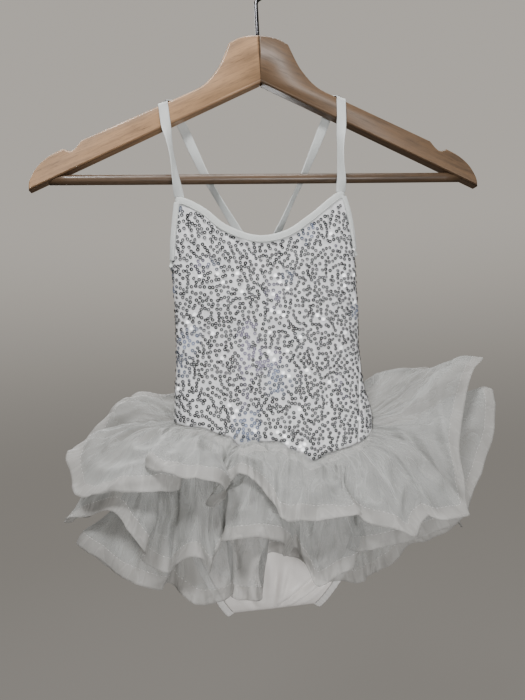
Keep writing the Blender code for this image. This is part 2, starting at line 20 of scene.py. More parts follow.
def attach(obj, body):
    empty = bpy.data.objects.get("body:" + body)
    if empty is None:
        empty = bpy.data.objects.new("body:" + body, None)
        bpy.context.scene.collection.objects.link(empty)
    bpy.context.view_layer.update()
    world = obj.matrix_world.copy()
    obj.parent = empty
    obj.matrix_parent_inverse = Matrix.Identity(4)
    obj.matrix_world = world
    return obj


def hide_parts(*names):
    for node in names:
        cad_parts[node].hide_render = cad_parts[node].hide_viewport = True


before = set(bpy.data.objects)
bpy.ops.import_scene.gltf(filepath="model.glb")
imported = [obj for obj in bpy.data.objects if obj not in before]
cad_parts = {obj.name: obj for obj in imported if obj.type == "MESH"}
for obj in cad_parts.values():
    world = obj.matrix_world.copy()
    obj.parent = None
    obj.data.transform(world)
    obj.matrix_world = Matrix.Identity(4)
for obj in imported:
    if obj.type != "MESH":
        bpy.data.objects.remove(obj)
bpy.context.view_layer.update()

MM = 0.001
LOG = logging.getLogger("ballet_dress")

Row = tuple[float, ...]
Grid = list[list[Vector]]
Pair = tuple[float, float]
Colour = tuple[float, float, float]
Input = bpy.types.NodeSocket | float | Colour | Vector


class Side(Enum):
    """Left or right, as seen from the front."""

    LEFT = -1
    RIGHT = 1

    @property
    def word(self) -> str:
        """Return the side's word in a node's name."""
        return "left" if self is Side.LEFT else "right"


class Panel(Enum):
    """The front or the back of the dress."""

    FRONT = "front"
    BACK = "back"


class Wood(Enum):
    """One length of the hanger's wood: its tone, partly the wood's own and partly painted light and shade, and the
    slope of its grain in degrees.
    """

    LEFT_ARM = (1.0, 24.3)
    RIGHT_ARM = (0.33, -24.3)
    BAR = (0.24, 0.0)


# Tables and the shape of the dress


@dataclass(frozen=True)
class SmoothTable:
    """Columns of numbers, read at a key on a smooth curve through the rows."""

    rows: tuple[Row, ...]

    def read(self, key: float) -> Row:
        """Read every column at a key.

        Args:
            key: value of the first column to read at.

        Returns:
            The other columns' values there.
        """
        rows = self.rows
        if key <= rows[0][0]:
            return rows[0][1:]
        if key >= rows[-1][0]:
            return rows[-1][1:]
        index = bisect.bisect_right(rows, key, key=lambda row: row[0]) - 1
        before, low = rows[max(index - 1, 0)], rows[index]
        high, after = rows[index + 1], rows[min(index + 2, len(rows) - 1)]
        span = high[0] - low[0]
        t = (key - low[0]) / span
        rise_in, rise_out = span / (high[0] - before[0]), span / (after[0] - low[0])
        start, start_rise = 2 * t**3 - 3 * t**2 + 1, (t**3 - 2 * t**2 + t) * rise_in
        end, end_rise = 3 * t**2 - 2 * t**3, (t**3 - t**2) * rise_out
        return tuple(
            start * low[i] + start_rise * (high[i] - before[i]) + end * high[i] + end_rise * (after[i] - low[i])
            for i in range(1, len(low))
        )


@dataclass(frozen=True)
class RoundTable:
    """Columns of numbers by angle round the body, eased between the rows."""

    rows: tuple[Row, ...]

    def read(self, angle: float) -> Row:
        """Read every column at an angle.

        Args:
            angle: degrees round the body, 0 at its right and 270 at its front.

        Returns:
            The other columns' values there.
        """
        angle %= 360.0
        index = bisect.bisect_right(self.rows, angle, key=lambda row: row[0]) - 1
        low, high = self.rows[index], self.rows[(index + 1) % len(self.rows)]
        span = (high[0] - low[0]) % 360.0
        ease = 0.5 - 0.5 * math.cos(math.pi * ((angle - low[0]) % 360.0) / span)
        return tuple(a + (b - a) * ease for a, b in zip(low[1:], high[1:]))


def table(*rows: Row) -> SmoothTable:
    """Make a smooth table of rows in any order."""
    return SmoothTable(tuple(sorted(rows)))


def smooth_path(points: Sequence[Row], steps: int) -> list[Row]:
    """Thread a smooth curve through points.

    Args:
        points: numbers of each point, any count of columns.
        steps: steps between two points.

    Returns:
        The points of the curve.
    """
    curve = SmoothTable(tuple((float(index), *point) for index, point in enumerate(points)))
    return [curve.read(index / steps) for index in range((len(points) - 1) * steps + 1)]


@dataclass
class DressForm:
    """Sections and seams of the dress, as the CAD has them."""

    sections: SmoothTable = table(
        (-232.0, -89.0, 80.0, 9.0, 9.0), (-256.0, -91.0, 84.6, 11.0, 10.0), (-287.0, -93.5, 87.0, 13.5, 11.0),
        (-318.0, -94.3, 87.0, 16.0, 12.0), (-352.0, -93.6, 87.0, 18.5, 13.5), (-392.0, -94.3, 86.2, 21.0, 15.5),
        (-434.0, -98.2, 90.0, 24.0, 18.0), (-456.0, -99.2, 96.0, 25.5, 20.0), (-500.0, -98.0, 93.0, 26.0, 22.0),
        (-545.0, -92.0, 86.0, 23.0, 20.0), (-600.0, -84.0, 72.0, 17.0, 14.0), (-655.0, -76.0, 58.0, 9.0, 7.0))
    seam_turn: SmoothTable = table(
        (-500.0, 37.0), (-456.0, 34.0), (-434.0, 25.0), (-412.0, 14.0), (-385.0, 2.0), (-340.0, 0.0))
    armhole_left: SmoothTable = table((-301.0, 0.0), (-270.0, 5.0), (-241.0, 12.0))
    armhole_right: SmoothTable = table((-294.0, 0.0), (-265.0, 6.0), (-237.0, 14.0))
    side_tops: Pair = (-301.0, -294.0)
    neckline: SmoothTable = table(
        (-90.0, -241.5), (-81.0, -241.5), (-60.7, -253.1), (-42.6, -269.0), (-13.4, -280.6),
        (15.4, -276.6), (41.3, -260.7), (71.3, -238.4), (80.0, -237.5))
    back_neckline: SmoothTable = table(
        (-94.0, -301.0), (-76.0, -327.0), (-42.0, -349.0), (-8.0, -356.0),
        (24.0, -350.0), (62.0, -324.0), (87.0, -294.0))
    waist_seam: RoundTable = RoundTable((
        (0.0, -467.0), (30.0, -461.0), (60.0, -463.0), (90.0, -468.0), (120.0, -465.0), (150.0, -459.0),
        (180.0, -456.0), (221.0, -460.0), (240.0, -469.0), (248.0, -479.0), (256.0, -476.0), (268.0, -477.0),
        (279.0, -488.0), (288.5, -498.0), (300.0, -492.0), (312.0, -489.0), (323.0, -486.0),
        (336.0, -481.0), (348.0, -475.0)))
    roundness: float = 0.85
    seam_inset: float = 0.4
    arcs: dict[tuple, tuple[list[float], list[float]]] = field(default_factory=dict)

    def section_point(self, height: float, angle: float, out: float = 0.0) -> Vector:
        """Find a point of the body's section.

        Args:
            height: height of the section.
            angle: degrees round it.
            out: how far the point is moved out from the cloth.

        Returns:
            The point.
        """
        left, right, front, back = self.sections.read(height)
        middle, half = (left + right) / 2, (right - left) / 2

        def on_section(turn: float) -> Vector:
            sine = math.sin(math.radians(turn))
            depth = back if sine > 0 else -front
            return Vector((middle + half * math.cos(math.radians(turn)), depth * abs(sine) ** self.roundness, height))

        point = on_section(angle)
        if out:
            along = on_section(angle + 0.5) - on_section(angle - 0.5)
            point += Vector((along.y, -along.x, 0.0)).normalized() * out
        return point

    def arc(self, height: float, start: float, end: float) -> tuple[list[float], list[float]]:
        """Measure the section's arc between two angles.

        Args:
            height: height of the section.
            start: angle that the arc starts at.
            end: angle that it ends at.

        Returns:
            Angles along the arc, and the length up to each.
        """
        key = (round(height, 1), round(start, 2), round(end, 2))
        if key not in self.arcs:
            steps = 36
            angles = [start + (end - start) * index / steps for index in range(steps + 1)]
            points = [self.section_point(height, angle) for angle in angles]
            lengths = [0.0]
            for first, second in zip(points, points[1:]):
                lengths.append(lengths[-1] + (second - first).length)
            self.arcs[key] = (angles, lengths)
        return self.arcs[key]

    def angle_at(self, height: float, start: float, end: float, fraction: float = -1.0, distance: float = 0.0) -> float:
        """Find the angle at a fraction of an arc, or at a distance along it.

        Args:
            height: height of the section.
            start: angle that the arc starts at.
            end: angle that it ends at.
            fraction: share of the arc inside its seams, or negative to use the distance.
            distance: distance along the arc.

        Returns:
            The angle there.
        """
        angles, lengths = self.arc(height, start, end)
        if fraction >= 0.0:
            distance = self.seam_inset + fraction * (lengths[-1] - 2 * self.seam_inset)
        index = min(max(bisect.bisect_left(lengths, distance), 1), len(lengths) - 1)
        share = (distance - lengths[index - 1]) / (lengths[index] - lengths[index - 1])
        return angles[index - 1] + (angles[index] - angles[index - 1]) * share

    def edges(self, panel: Panel, height: float) -> Pair:
        """Find the angles of a panel's two side edges.

        Args:
            panel: front or back.
            height: height of the section.

        Returns:
            The angles that the panel runs between.
        """
        turn = self.seam_turn.read(height)[0]
        if panel is Panel.FRONT:
            return 180.0 + self.armhole_left.read(height)[0], 360.0 - turn - self.armhole_right.read(height)[0]
        return -turn, 180.0

    def neck(self, panel: Panel) -> SmoothTable:
        """Return the neck edge of a panel."""
        return self.neckline if panel is Panel.FRONT else self.back_neckline

    def panel_limits(self, panel: Panel, fraction: float) -> Pair:
        """Find the lowest and highest height of a panel.

        Args:
            panel: front or back.
            fraction: place across the panel.

        Returns:
            The two heights.
        """
        low, high = -475.0, -300.0
        for _ in range(6):
            low = self.waist_seam.read(self.angle_at(low, *self.edges(panel, low), fraction=fraction))[0]
            angle = self.angle_at(high, *self.edges(panel, high), fraction=fraction)
            high = self.neck(panel).read(self.section_point(high, angle).x)[0]
        return low, high

    def panel_point(self, panel: Panel, height: float, fraction: float, out: float = 0.0) -> Vector:
        """Find a point of a bodice panel.

        Args:
            panel: front or back.
            height: height of the point.
            fraction: place across the panel.
            out: how far the point is moved out from the cloth.

        Returns:
            The point.
        """
        angle = self.angle_at(height, *self.edges(panel, height), fraction=fraction)
        return self.section_point(height, angle, out)


FORM = DressForm()


# Meshes


def grid_normals(grid: Grid, ring: bool) -> Grid:
    """Find the unit normal at each point of a grid.

    Args:
        grid: rows of points.
        ring: whether the columns close.

    Returns:
        Rows of normals, outwards where rows go up and columns go anticlockwise from above.
    """
    last_row, last = len(grid) - 1, len(grid[0]) - 1
    normals: Grid = []
    for r, row in enumerate(grid):
        above, below = grid[min(r + 1, last_row)], grid[max(r - 1, 0)]
        line = []
        for c in range(last + 1):
            if ring:
                before, after = row[c - 1], row[(c + 1) % (last + 1)]
            else:
                before, after = row[max(c - 1, 0)], row[min(c + 1, last)]
            line.append((after - before).cross(above[c] - below[c]).normalized())
        normals.append(line)
    return normals


def add_piece(name: str, mesh: bpy.types.Mesh, material: bpy.types.Material) -> bpy.types.Object:
    """Add a mesh to the scene with its finish."""
    mesh.materials.clear()
    mesh.materials.append(material)
    piece = bpy.data.objects.new(name, mesh)
    bpy.context.scene.collection.objects.link(piece)
    return piece


def grid_mesh(name: str, grid: Grid, ring: bool, cloth: Callable[[int, int], Pair] | None = None) -> bpy.types.Mesh:
    """Make a mesh of a grid of points.

    Args:
        name: the mesh's name.
        grid: rows of points in millimetres.
        ring: whether the columns close.
        cloth: gives the place on the flat cloth, in millimetres, of a row and column.

    Returns:
        The mesh, with a UV map in metres of flat cloth where it is given.
    """
    rows, columns = len(grid), len(grid[0])
    spans = columns if ring else columns - 1
    mesh = bpy.data.meshes.new(name)
    faces, corners = [], []
    for r in range(rows - 1):
        for c in range(spans):
            after = (c + 1) % columns
            faces.append((r * columns + c, r * columns + after, (r + 1) * columns + after, (r + 1) * columns + c))
            corners += [(r, c), (r, c + 1), (r + 1, c + 1), (r + 1, c)]
    mesh.from_pydata([point * MM for row in grid for point in row], [], faces)
    if cloth is not None:
        layer = mesh.uv_layers.new(name="cloth")
        for spot, (r, c) in zip(layer.uv, corners):
            across, along = cloth(r, c)
            spot.vector = (across * MM, along * MM)
    mesh.shade_smooth()
    mesh.update()
    return mesh


def pulled(place: Vector, wrinkles: Sequence[Row]) -> float:
    """Find how far pulled cloth stands out beside and in its wrinkles.

    Args:
        place: the point of the cloth.
        wrinkles: start across and up, end across and up, depth and half width of each.

    Returns:
        The distance out.
    """
    height = 0.0
    for x0, z0, x1, z1, depth, half in wrinkles:
        run, offset = Vector((x1 - x0, z1 - z0)), Vector((place.x - x0, place.z - z0))
        share = max(0.0, min(1.0, offset.dot(run) / run.length_squared))
        away = (offset - run * share).length / half
        bell = math.exp(-away**2) - 0.45 * math.exp(-((away - 2.2) / 1.1) ** 2)
        height -= depth * bell * math.sin(math.pi * (0.08 + 0.84 * share))
    return height


def add_wall(piece: bpy.types.Object, thickness: float) -> bpy.types.Object:
    """Give a sheet its thickness, half to each side."""
    wall = piece.modifiers.new("wall", "SOLIDIFY")
    wall.thickness = thickness * MM
    wall.offset = 0.0
    return piece


@dataclass(frozen=True)
class BandSection:
    """Rounded section of a band, across its width and out from the cloth."""

    width: float
    thickness: float
    squareness: float = 0.45
    points: int = 14

    def ring(self) -> list[Pair]:
        """Return the section's points, as shares of its frame's two directions."""
        spots = []
        for index in range(self.points):
            turn = 2 * math.pi * index / self.points
            across, out = math.cos(turn), math.sin(turn)
            spots.append((
                math.copysign(abs(across) ** self.squareness, across) * self.width / 2,
                math.copysign(abs(out) ** self.squareness, out) * self.thickness / 2,
            ))
        return spots


@dataclass(frozen=True)
class BandFrame:
    """Place and directions of a band's section: across its width and out of its face."""

    centre: Vector
    across: Vector
    out: Vector


def sweep_band(name: str, frames: Sequence[BandFrame], section: BandSection, closed: bool) -> bpy.types.Mesh:
    """Sweep a rounded band along its frames.

    Args:
        name: the mesh's name.
        frames: the section's place and directions along the band.
        section: the band's section.
        closed: whether the band runs round to its start.

    Returns:
        A closed mesh, with a UV map in metres: across the band, then along it.
    """
    spots = section.ring()
    shell = bmesh.new()
    layer = shell.loops.layers.uv.new("cloth")
    rings, run = [], [0.0]
    for index, place in enumerate(frames):
        rings.append([shell.verts.new((place.centre + place.across * a + place.out * b) * MM) for a, b in spots])
        if index:
            run.append(run[-1] + (place.centre - frames[index - 1].centre).length)
    count = len(spots)
    for index in range(len(frames) if closed else len(frames) - 1):
        after = (index + 1) % len(frames)
        for k in range(count):
            j = (k + 1) % count
            face = shell.faces.new((rings[index][k], rings[index][j], rings[after][j], rings[after][k]))
            face.smooth = True
            step = (frames[after].centre - frames[index].centre).length
            for loop, spot, along in zip(face.loops, (k, j, j, k), (0.0, 0.0, step, step)):
                loop[layer].uv = (spots[spot][0] * MM, (run[index] + along) * MM)
    if not closed:
        for ends, flip in ((rings[0], True), (rings[-1], False)):
            shell.faces.new(ends[::-1] if flip else ends)
    bmesh.ops.recalc_face_normals(shell, faces=shell.faces)
    mesh = bpy.data.meshes.new(name)
    shell.to_mesh(mesh)
    shell.free()
    return mesh


def path_mesh(name: str, paths: Iterable[Sequence[tuple[Vector, Vector]]]) -> bpy.types.Mesh:
    """Make a mesh of open lines, each point with the direction that it faces.

    Args:
        name: the mesh's name.
        paths: lines of points with their outward directions.

    Returns:
        The mesh of edges, with the attribute "outward".
    """
    places, edges, facing = [], [], []
    for path in paths:
        first = len(places)
        places += [point * MM for point, _ in path]
        facing += [value for _, out in path for value in out]
        edges += [(first + index, first + index + 1) for index in range(len(path) - 1)]
    mesh = bpy.data.meshes.new(name)
    mesh.from_pydata(places, edges, [])
    outward = mesh.attributes.new("outward", "FLOAT_VECTOR", "POINT")
    outward.data.foreach_set("vector", facing)
    return mesh


# Node trees


class NodeGraph:
    """A node tree, with short ways to add and join its nodes."""

    def __init__(self, tree: bpy.types.NodeTree) -> None:
        """Take the tree to work in."""
        self.tree = tree

    def add(self, kind: str, **settings: object) -> bpy.types.Node:
        """Add a node with its settings."""
        node = self.tree.nodes.new(kind)
        for name, value in settings.items():
            setattr(node, name, value)
        return node

    def feed(self, socket: bpy.types.NodeSocket, value: Input) -> None:
        """Join a socket to another one, or give it a fixed value."""
        if isinstance(value, bpy.types.NodeSocket):
            self.tree.links.new(value, socket)
        elif isinstance(value, tuple) and socket.type == "RGBA":
            socket.default_value = (*value, 1.0)
        else:
            socket.default_value = value

    def feeds(self, node: bpy.types.Node, **values: Input) -> bpy.types.Node:
        """Feed a node's inputs by their names, with _ for a space."""
        for name, value in values.items():
            self.feed(node.inputs[name.replace("_", " ")], value)
        return node

    def math(self, operation: str, *values: Input) -> bpy.types.NodeSocket:
        """Add a sum and return its result."""
        node = self.add("ShaderNodeMath", operation=operation)
        for socket, value in zip(node.inputs, values):
            self.feed(socket, value)
        return node.outputs[0]

    def spread(self, value: Input, low: float, high: float, to_low: float, to_high: float) -> bpy.types.NodeSocket:
        """Map a value from one range to another, smoothly and inside its limits."""
        node = self.add("ShaderNodeMapRange", interpolation_type="SMOOTHSTEP")
        self.feeds(node, Value=value, From_Min=low, From_Max=high, To_Min=to_low, To_Max=to_high)
        return node.outputs["Result"]

    def mix(self, share: Input, first: Input, second: Input, blend: str = "MIX") -> bpy.types.NodeSocket:
        """Mix two colours."""
        node = self.add("ShaderNodeMix", data_type="RGBA", blend_type=blend)
        self.feed(node.inputs[0], share)
        self.feed(node.inputs[6], first)
        self.feed(node.inputs[7], second)
        return node.outputs[2]

    def noise(self, place: Input, scale: float, detail: float = 2.0, rough: float = 0.5) -> bpy.types.NodeSocket:
        """Add a noise pattern and return its value."""
        node = self.add("ShaderNodeTexNoise")
        self.feeds(node, Vector=place, Scale=scale, Detail=detail, Roughness=rough)
        return node.outputs["Fac"]

    def stretch(self, place: Input, scale: Colour, turn: float = 0.0) -> bpy.types.NodeSocket:
        """Turn a place about Y by degrees, then scale it."""
        turned = self.add("ShaderNodeMapping")
        self.feeds(turned, Vector=place)
        turned.inputs["Rotation"].default_value = (0.0, math.radians(turn), 0.0)
        scaled = self.add("ShaderNodeMapping")
        self.feeds(scaled, Vector=turned.outputs[0])
        scaled.inputs["Scale"].default_value = scale
        return scaled.outputs[0]

    def bump(self, height: Input, strength: float, distance: float, normal: Input | None = None) -> bpy.types.NodeSocket:
        """Add a bump and return its normal."""
        node = self.add("ShaderNodeBump")
        self.feeds(node, Height=height, Strength=strength, Distance=distance * MM)
        if normal is not None:
            self.feed(node.inputs["Normal"], normal)
        return node.outputs[0]


class Effects:
    """Node groups that several finishes share."""

    def __init__(self) -> None:
        """Build each group once."""
        self.mottle = self._mottle()
        self.weave = self._weave()
        self.creases = self._creases()

    @staticmethod
    def _group(name: str, inputs: dict[str, str], outputs: dict[str, str]) -> tuple[NodeGraph, bpy.types.Node, bpy.types.Node]:
        """Start a group with its named sockets.

        Args:
            name: the group's name.
            inputs: socket kinds by name.
            outputs: socket kinds by name.

        Returns:
            The group's graph, its input node and its output node.
        """
        tree = bpy.data.node_groups.new(name, "ShaderNodeTree")
        for label, kind in inputs.items():
            tree.interface.new_socket(label, in_out="INPUT", socket_type=kind)
        for label, kind in outputs.items():
            tree.interface.new_socket(label, in_out="OUTPUT", socket_type=kind)
        graph = NodeGraph(tree)
        return graph, graph.add("NodeGroupInput"), graph.add("NodeGroupOutput")

    def _mottle(self) -> bpy.types.NodeTree:
        """Vary a colour softly over the cloth."""
        graph, given, result = self._group(
            "colour_mottle",
            {"Vector": "NodeSocketVector", "Colour": "NodeSocketColor", "Scale": "NodeSocketFloat",
             "Amount": "NodeSocketFloat"},
            {"Colour": "NodeSocketColor"})
        cloud = graph.add("ShaderNodeTexNoise")
        graph.feeds(cloud, Vector=given.outputs["Vector"], Scale=given.outputs["Scale"], Detail=4.0)
        shift = graph.math("MULTIPLY", graph.math("SUBTRACT", cloud.outputs["Fac"], 0.5), given.outputs["Amount"])
        level = graph.math("ADD", graph.math("MULTIPLY", shift, 4.0), 1.0)
        grey = graph.add("ShaderNodeCombineColor")
        graph.feeds(grey, Red=level, Green=level, Blue=level)
        graph.feed(result.inputs["Colour"], graph.mix(1.0, given.outputs["Colour"], grey.outputs[0], "MULTIPLY"))
        return graph.tree

    def _weave(self) -> bpy.types.NodeTree:
        """Cross two sets of threads."""
        graph, given, result = self._group(
            "thread_weave",
            {"Vector": "NodeSocketVector", "Across": "NodeSocketFloat", "Along": "NodeSocketFloat"},
            {"Height": "NodeSocketFloat"})
        split = graph.add("ShaderNodeSeparateXYZ")
        graph.feeds(split, Vector=given.outputs["Vector"])
        waves = []
        for axis, count in (("X", "Across"), ("Y", "Along")):
            turns = graph.math("MULTIPLY", split.outputs[axis], given.outputs[count])
            waves.append(graph.math("SINE", graph.math("MULTIPLY", turns, 2 * math.pi)))
        height = graph.math("ADD", graph.math("MULTIPLY", waves[0], waves[1]), 1.0)
        graph.feed(result.inputs["Height"], graph.math("MULTIPLY", height, 0.5))
        return graph.tree

    def _creases(self) -> bpy.types.NodeTree:
        """Draw soft creases, stretched along the cloth."""
        graph, given, result = self._group(
            "soft_creases",
            {"Vector": "NodeSocketVector", "Scale": "NodeSocketFloat", "Stretch": "NodeSocketFloat"},
            {"Height": "NodeSocketFloat"})
        split = graph.add("ShaderNodeSeparateXYZ")
        graph.feeds(split, Vector=given.outputs["Vector"])
        place = graph.add("ShaderNodeCombineXYZ")
        graph.feeds(place, X=split.outputs["X"], Z=split.outputs["Z"],
                    Y=graph.math("DIVIDE", split.outputs["Y"], given.outputs["Stretch"]))
        cloud = graph.add("ShaderNodeTexNoise")
        graph.feeds(cloud, Vector=place.outputs[0], Scale=given.outputs["Scale"], Detail=3.0, Distortion=0.6)
        ridge = graph.math("ABSOLUTE", graph.math("SUBTRACT", cloud.outputs["Fac"], 0.5))
        graph.feed(result.inputs["Height"], graph.math("MULTIPLY", ridge, 2.0))
        return graph.tree


EFFECTS = Effects()


@dataclass(frozen=True)
class Finish:
    """A finish: its name, colour and gloss."""

    name: str
    colour: Colour
    roughness: float = 0.6
    sheen: float = 0.0
    coat: float = 0.0
    specular: float = 0.5
    glow: float = 0.0

    def start(self) -> tuple[NodeGraph, bpy.types.Node, bpy.types.Material]:
        """Make the material with its shader's fixed values.

        Returns:
            The graph, its shader and the material.
        """
        material = bpy.data.materials.new(self.name)
        material.use_nodes = True
        graph = NodeGraph(material.node_tree)
        shader = material.node_tree.nodes["Principled BSDF"]
        graph.feeds(shader, Base_Color=self.colour, Roughness=self.roughness, Sheen_Weight=self.sheen,
                    Sheen_Roughness=0.4, Coat_Weight=self.coat, Coat_Roughness=0.15, Specular_IOR_Level=self.specular,
                    Emission_Color=self.colour, Emission_Strength=self.glow)
        return graph, shader, material

    def group(self, graph: NodeGraph, tree: bpy.types.NodeTree, **values: Input) -> bpy.types.NodeSocket:
        """Place a shared effect and return what it puts out."""
        node = graph.add("ShaderNodeGroup")
        node.node_tree = tree
        return graph.feeds(node, **values).outputs[0]

    def mottled(self, graph: NodeGraph, place: Input, scale: float, amount: float) -> bpy.types.NodeSocket:
        """Return the finish's colour, varied softly."""
        return self.group(graph, EFFECTS.mottle, Vector=place, Colour=self.colour, Scale=scale, Amount=amount)

    def build(self) -> bpy.types.Material:
        """Build the material."""
        graph, shader, material = self.start()
        place = graph.add("ShaderNodeTexCoord").outputs["Object"]
        graph.feeds(shader, Base_Color=self.mottled(graph, place, 40.0, 0.04))
        return material


@dataclass(frozen=True)
class WoodFinish(Finish):
    """Lacquered pale wood with its grain along one direction."""

    slope: float = 0.0
    streak: float = 0.42

    def build(self) -> bpy.types.Material:
        """Build the material: growth bands, fine streaks and short pores under lacquer."""
        graph, shader, material = self.start()
        place = graph.add("ShaderNodeTexCoord").outputs["Object"]
        bands = graph.noise(graph.stretch(place, (5.0, 45.0, 60.0), self.slope), 1.0, 5.0, 0.6)
        streaks = graph.noise(graph.stretch(place, (26.0, 300.0, 330.0), self.slope), 1.0, 5.0, 0.65)
        pores = graph.noise(graph.stretch(place, (110.0, 900.0, 1300.0), self.slope), 1.0, 2.0, 0.5)
        clouds = graph.noise(place, 14.0, 2.0)
        share = graph.math("ADD", graph.spread(bands, 0.36, 0.66, 0.0, 0.42), graph.spread(streaks, 0.44, 0.66, 0.0, 0.46))
        share = graph.math("ADD", share, graph.spread(clouds, 0.4, 0.7, -0.05, 0.12))
        share = graph.math("ADD", share, graph.spread(pores, 0.58, 0.70, 0.0, 0.40))
        clamp = graph.add("ShaderNodeClamp")
        graph.feeds(clamp, Value=share)
        colour = graph.mix(clamp.outputs[0], self.colour, tuple(v * self.streak for v in self.colour))
        graph.feeds(shader, Base_Color=colour, Roughness=graph.spread(streaks, 0.3, 0.7, 0.36, 0.52))
        relief = graph.math("ADD", streaks, graph.math("MULTIPLY", pores, 0.6))
        graph.feeds(shader, Normal=graph.bump(relief, 0.12, 0.15))
        return material


@dataclass(frozen=True)
class MetalFinish(Finish):
    """Bright plated wire with faint drawing marks."""

    def build(self) -> bpy.types.Material:
        """Build the material."""
        graph, shader, material = self.start()
        place = graph.add("ShaderNodeTexCoord").outputs["Object"]
        smear = graph.noise(place, 160.0, 3.0)
        graph.feeds(shader, Metallic=1.0, Base_Color=self.mottled(graph, place, 90.0, 0.05),
                    Roughness=graph.spread(smear, 0.35, 0.7, self.roughness, self.roughness + 0.12))
        return material


@dataclass(frozen=True)
class JerseyFinish(Finish):
    """Fine knitted jersey on the piece's own cloth map."""

    loops_per_m: float = 1100.0
    shade: Colour = (0.58, 0.585, 0.60)

    def build(self) -> bpy.types.Material:
        """Build the material: knit loops, puckers under the sewn chains and soft greying."""
        graph, shader, material = self.start()
        cloth = graph.add("ShaderNodeUVMap", uv_map="cloth").outputs[0]
        knit = self.group(graph, EFFECTS.weave, Vector=cloth, Across=self.loops_per_m, Along=self.loops_per_m * 0.7)
        puckers = graph.noise(cloth, 210.0, 3.0, 0.6)
        shaded = graph.mix(graph.spread(puckers, 0.38, 0.62, 0.0, 0.35), self.mottled(graph, cloth, 34.0, 0.05), self.shade)
        fine = graph.bump(knit, 0.25, 0.12)
        graph.feeds(shader, Base_Color=shaded, Normal=graph.bump(puckers, 0.5, 0.6, fine))
        return material


@dataclass(frozen=True)
class BandFinish(Finish):
    """Ribbed elastic or folded binding: ribs along the band, threads across it."""

    ribs_per_m: float = 900.0
    rib_depth: float = 0.25

    def build(self) -> bpy.types.Material:
        """Build the material, with painted shade in the hollows between the ribs."""
        graph, shader, material = self.start()
        cloth = graph.add("ShaderNodeUVMap", uv_map="cloth").outputs[0]
        ribs = self.group(graph, EFFECTS.weave, Vector=cloth, Across=self.ribs_per_m, Along=self.ribs_per_m * 0.5)
        creases = self.group(graph, EFFECTS.creases, Vector=cloth, Scale=140.0, Stretch=4.0)
        # The rib hollows are painted darker: painted shade between the ribs.
        colour = graph.mix(graph.spread(ribs, 0.0, 0.5, 0.22, 0.0), self.mottled(graph, cloth, 60.0, 0.05),
                           tuple(value * 0.72 for value in self.colour))
        fine = graph.bump(ribs, 0.5, self.rib_depth)
        graph.feeds(shader, Base_Color=colour, Normal=graph.bump(creases, 0.3, 0.4, fine))
        return material


@dataclass(frozen=True)
class OrganzaFinish(Finish):
    """Sheer stiff organza with a turned hem, on a cloth map whose second axis starts at the hem."""

    hem_width: float = 12.0
    hem_colour: Colour = (0.46, 0.45, 0.43)
    sheer: float = 0.32
    hem: float = 0.46
    at_edge: float = 0.40
    threads_per_m: float = 2600.0

    def build(self) -> bpy.types.Material:
        """Build the material: see-through weave, closer in the hem and along its creases."""
        graph, shader, material = self.start()
        cloth = graph.add("ShaderNodeUVMap", uv_map="cloth").outputs[0]
        split = graph.add("ShaderNodeSeparateXYZ")
        graph.feeds(split, Vector=cloth)
        in_hem = graph.spread(split.outputs["Y"], self.hem_width * MM, (self.hem_width + 0.7) * MM, 1.0, 0.0)
        weave = self.group(graph, EFFECTS.weave, Vector=cloth, Across=self.threads_per_m, Along=self.threads_per_m)
        creases = self.group(graph, EFFECTS.creases, Vector=cloth, Scale=42.0, Stretch=2.5)
        clouds = graph.noise(cloth, 26.0, 3.0)
        line = graph.spread(creases, 0.0, 0.07, 0.14, 0.0)
        alpha = graph.math("ADD", graph.spread(in_hem, 0.0, 1.0, self.sheer, self.hem), line)
        edge_on = graph.feeds(graph.add("ShaderNodeLayerWeight"), Blend=0.35).outputs["Facing"]
        alpha = graph.math("ADD", alpha, graph.math("MULTIPLY", graph.math("POWER", edge_on, 1.6), self.at_edge))
        alpha = graph.math("ADD", alpha, graph.spread(clouds, 0.35, 0.65, -0.03, 0.05))
        alpha = graph.math("ADD", alpha, graph.spread(weave, 0.0, 1.0, -0.02, 0.02))
        colour = graph.mix(in_hem, self.mottled(graph, cloth, 18.0, 0.035), self.hem_colour)
        fine = graph.bump(weave, 0.15, 0.08)
        graph.feeds(shader, Base_Color=colour, Alpha=alpha, Normal=graph.bump(creases, 0.9, 2.6, fine))
        return material


@dataclass(frozen=True)
class SatinFinish(Finish):
    """Smooth satin jersey with soft creases and a faint twill."""

    def build(self) -> bpy.types.Material:
        """Build the material."""
        graph, shader, material = self.start()
        cloth = graph.add("ShaderNodeUVMap", uv_map="cloth").outputs[0]
        twill = self.group(graph, EFFECTS.weave, Vector=cloth, Across=1500.0, Along=1500.0)
        creases = self.group(graph, EFFECTS.creases, Vector=cloth, Scale=30.0, Stretch=1.6)
        fine = graph.bump(twill, 0.15, 0.1)
        graph.feeds(shader, Base_Color=self.mottled(graph, cloth, 22.0, 0.03),
                    Roughness=graph.spread(creases, 0.0, 0.5, self.roughness, self.roughness + 0.15),
                    Normal=graph.bump(creases, 0.4, 1.5, fine))
        return material


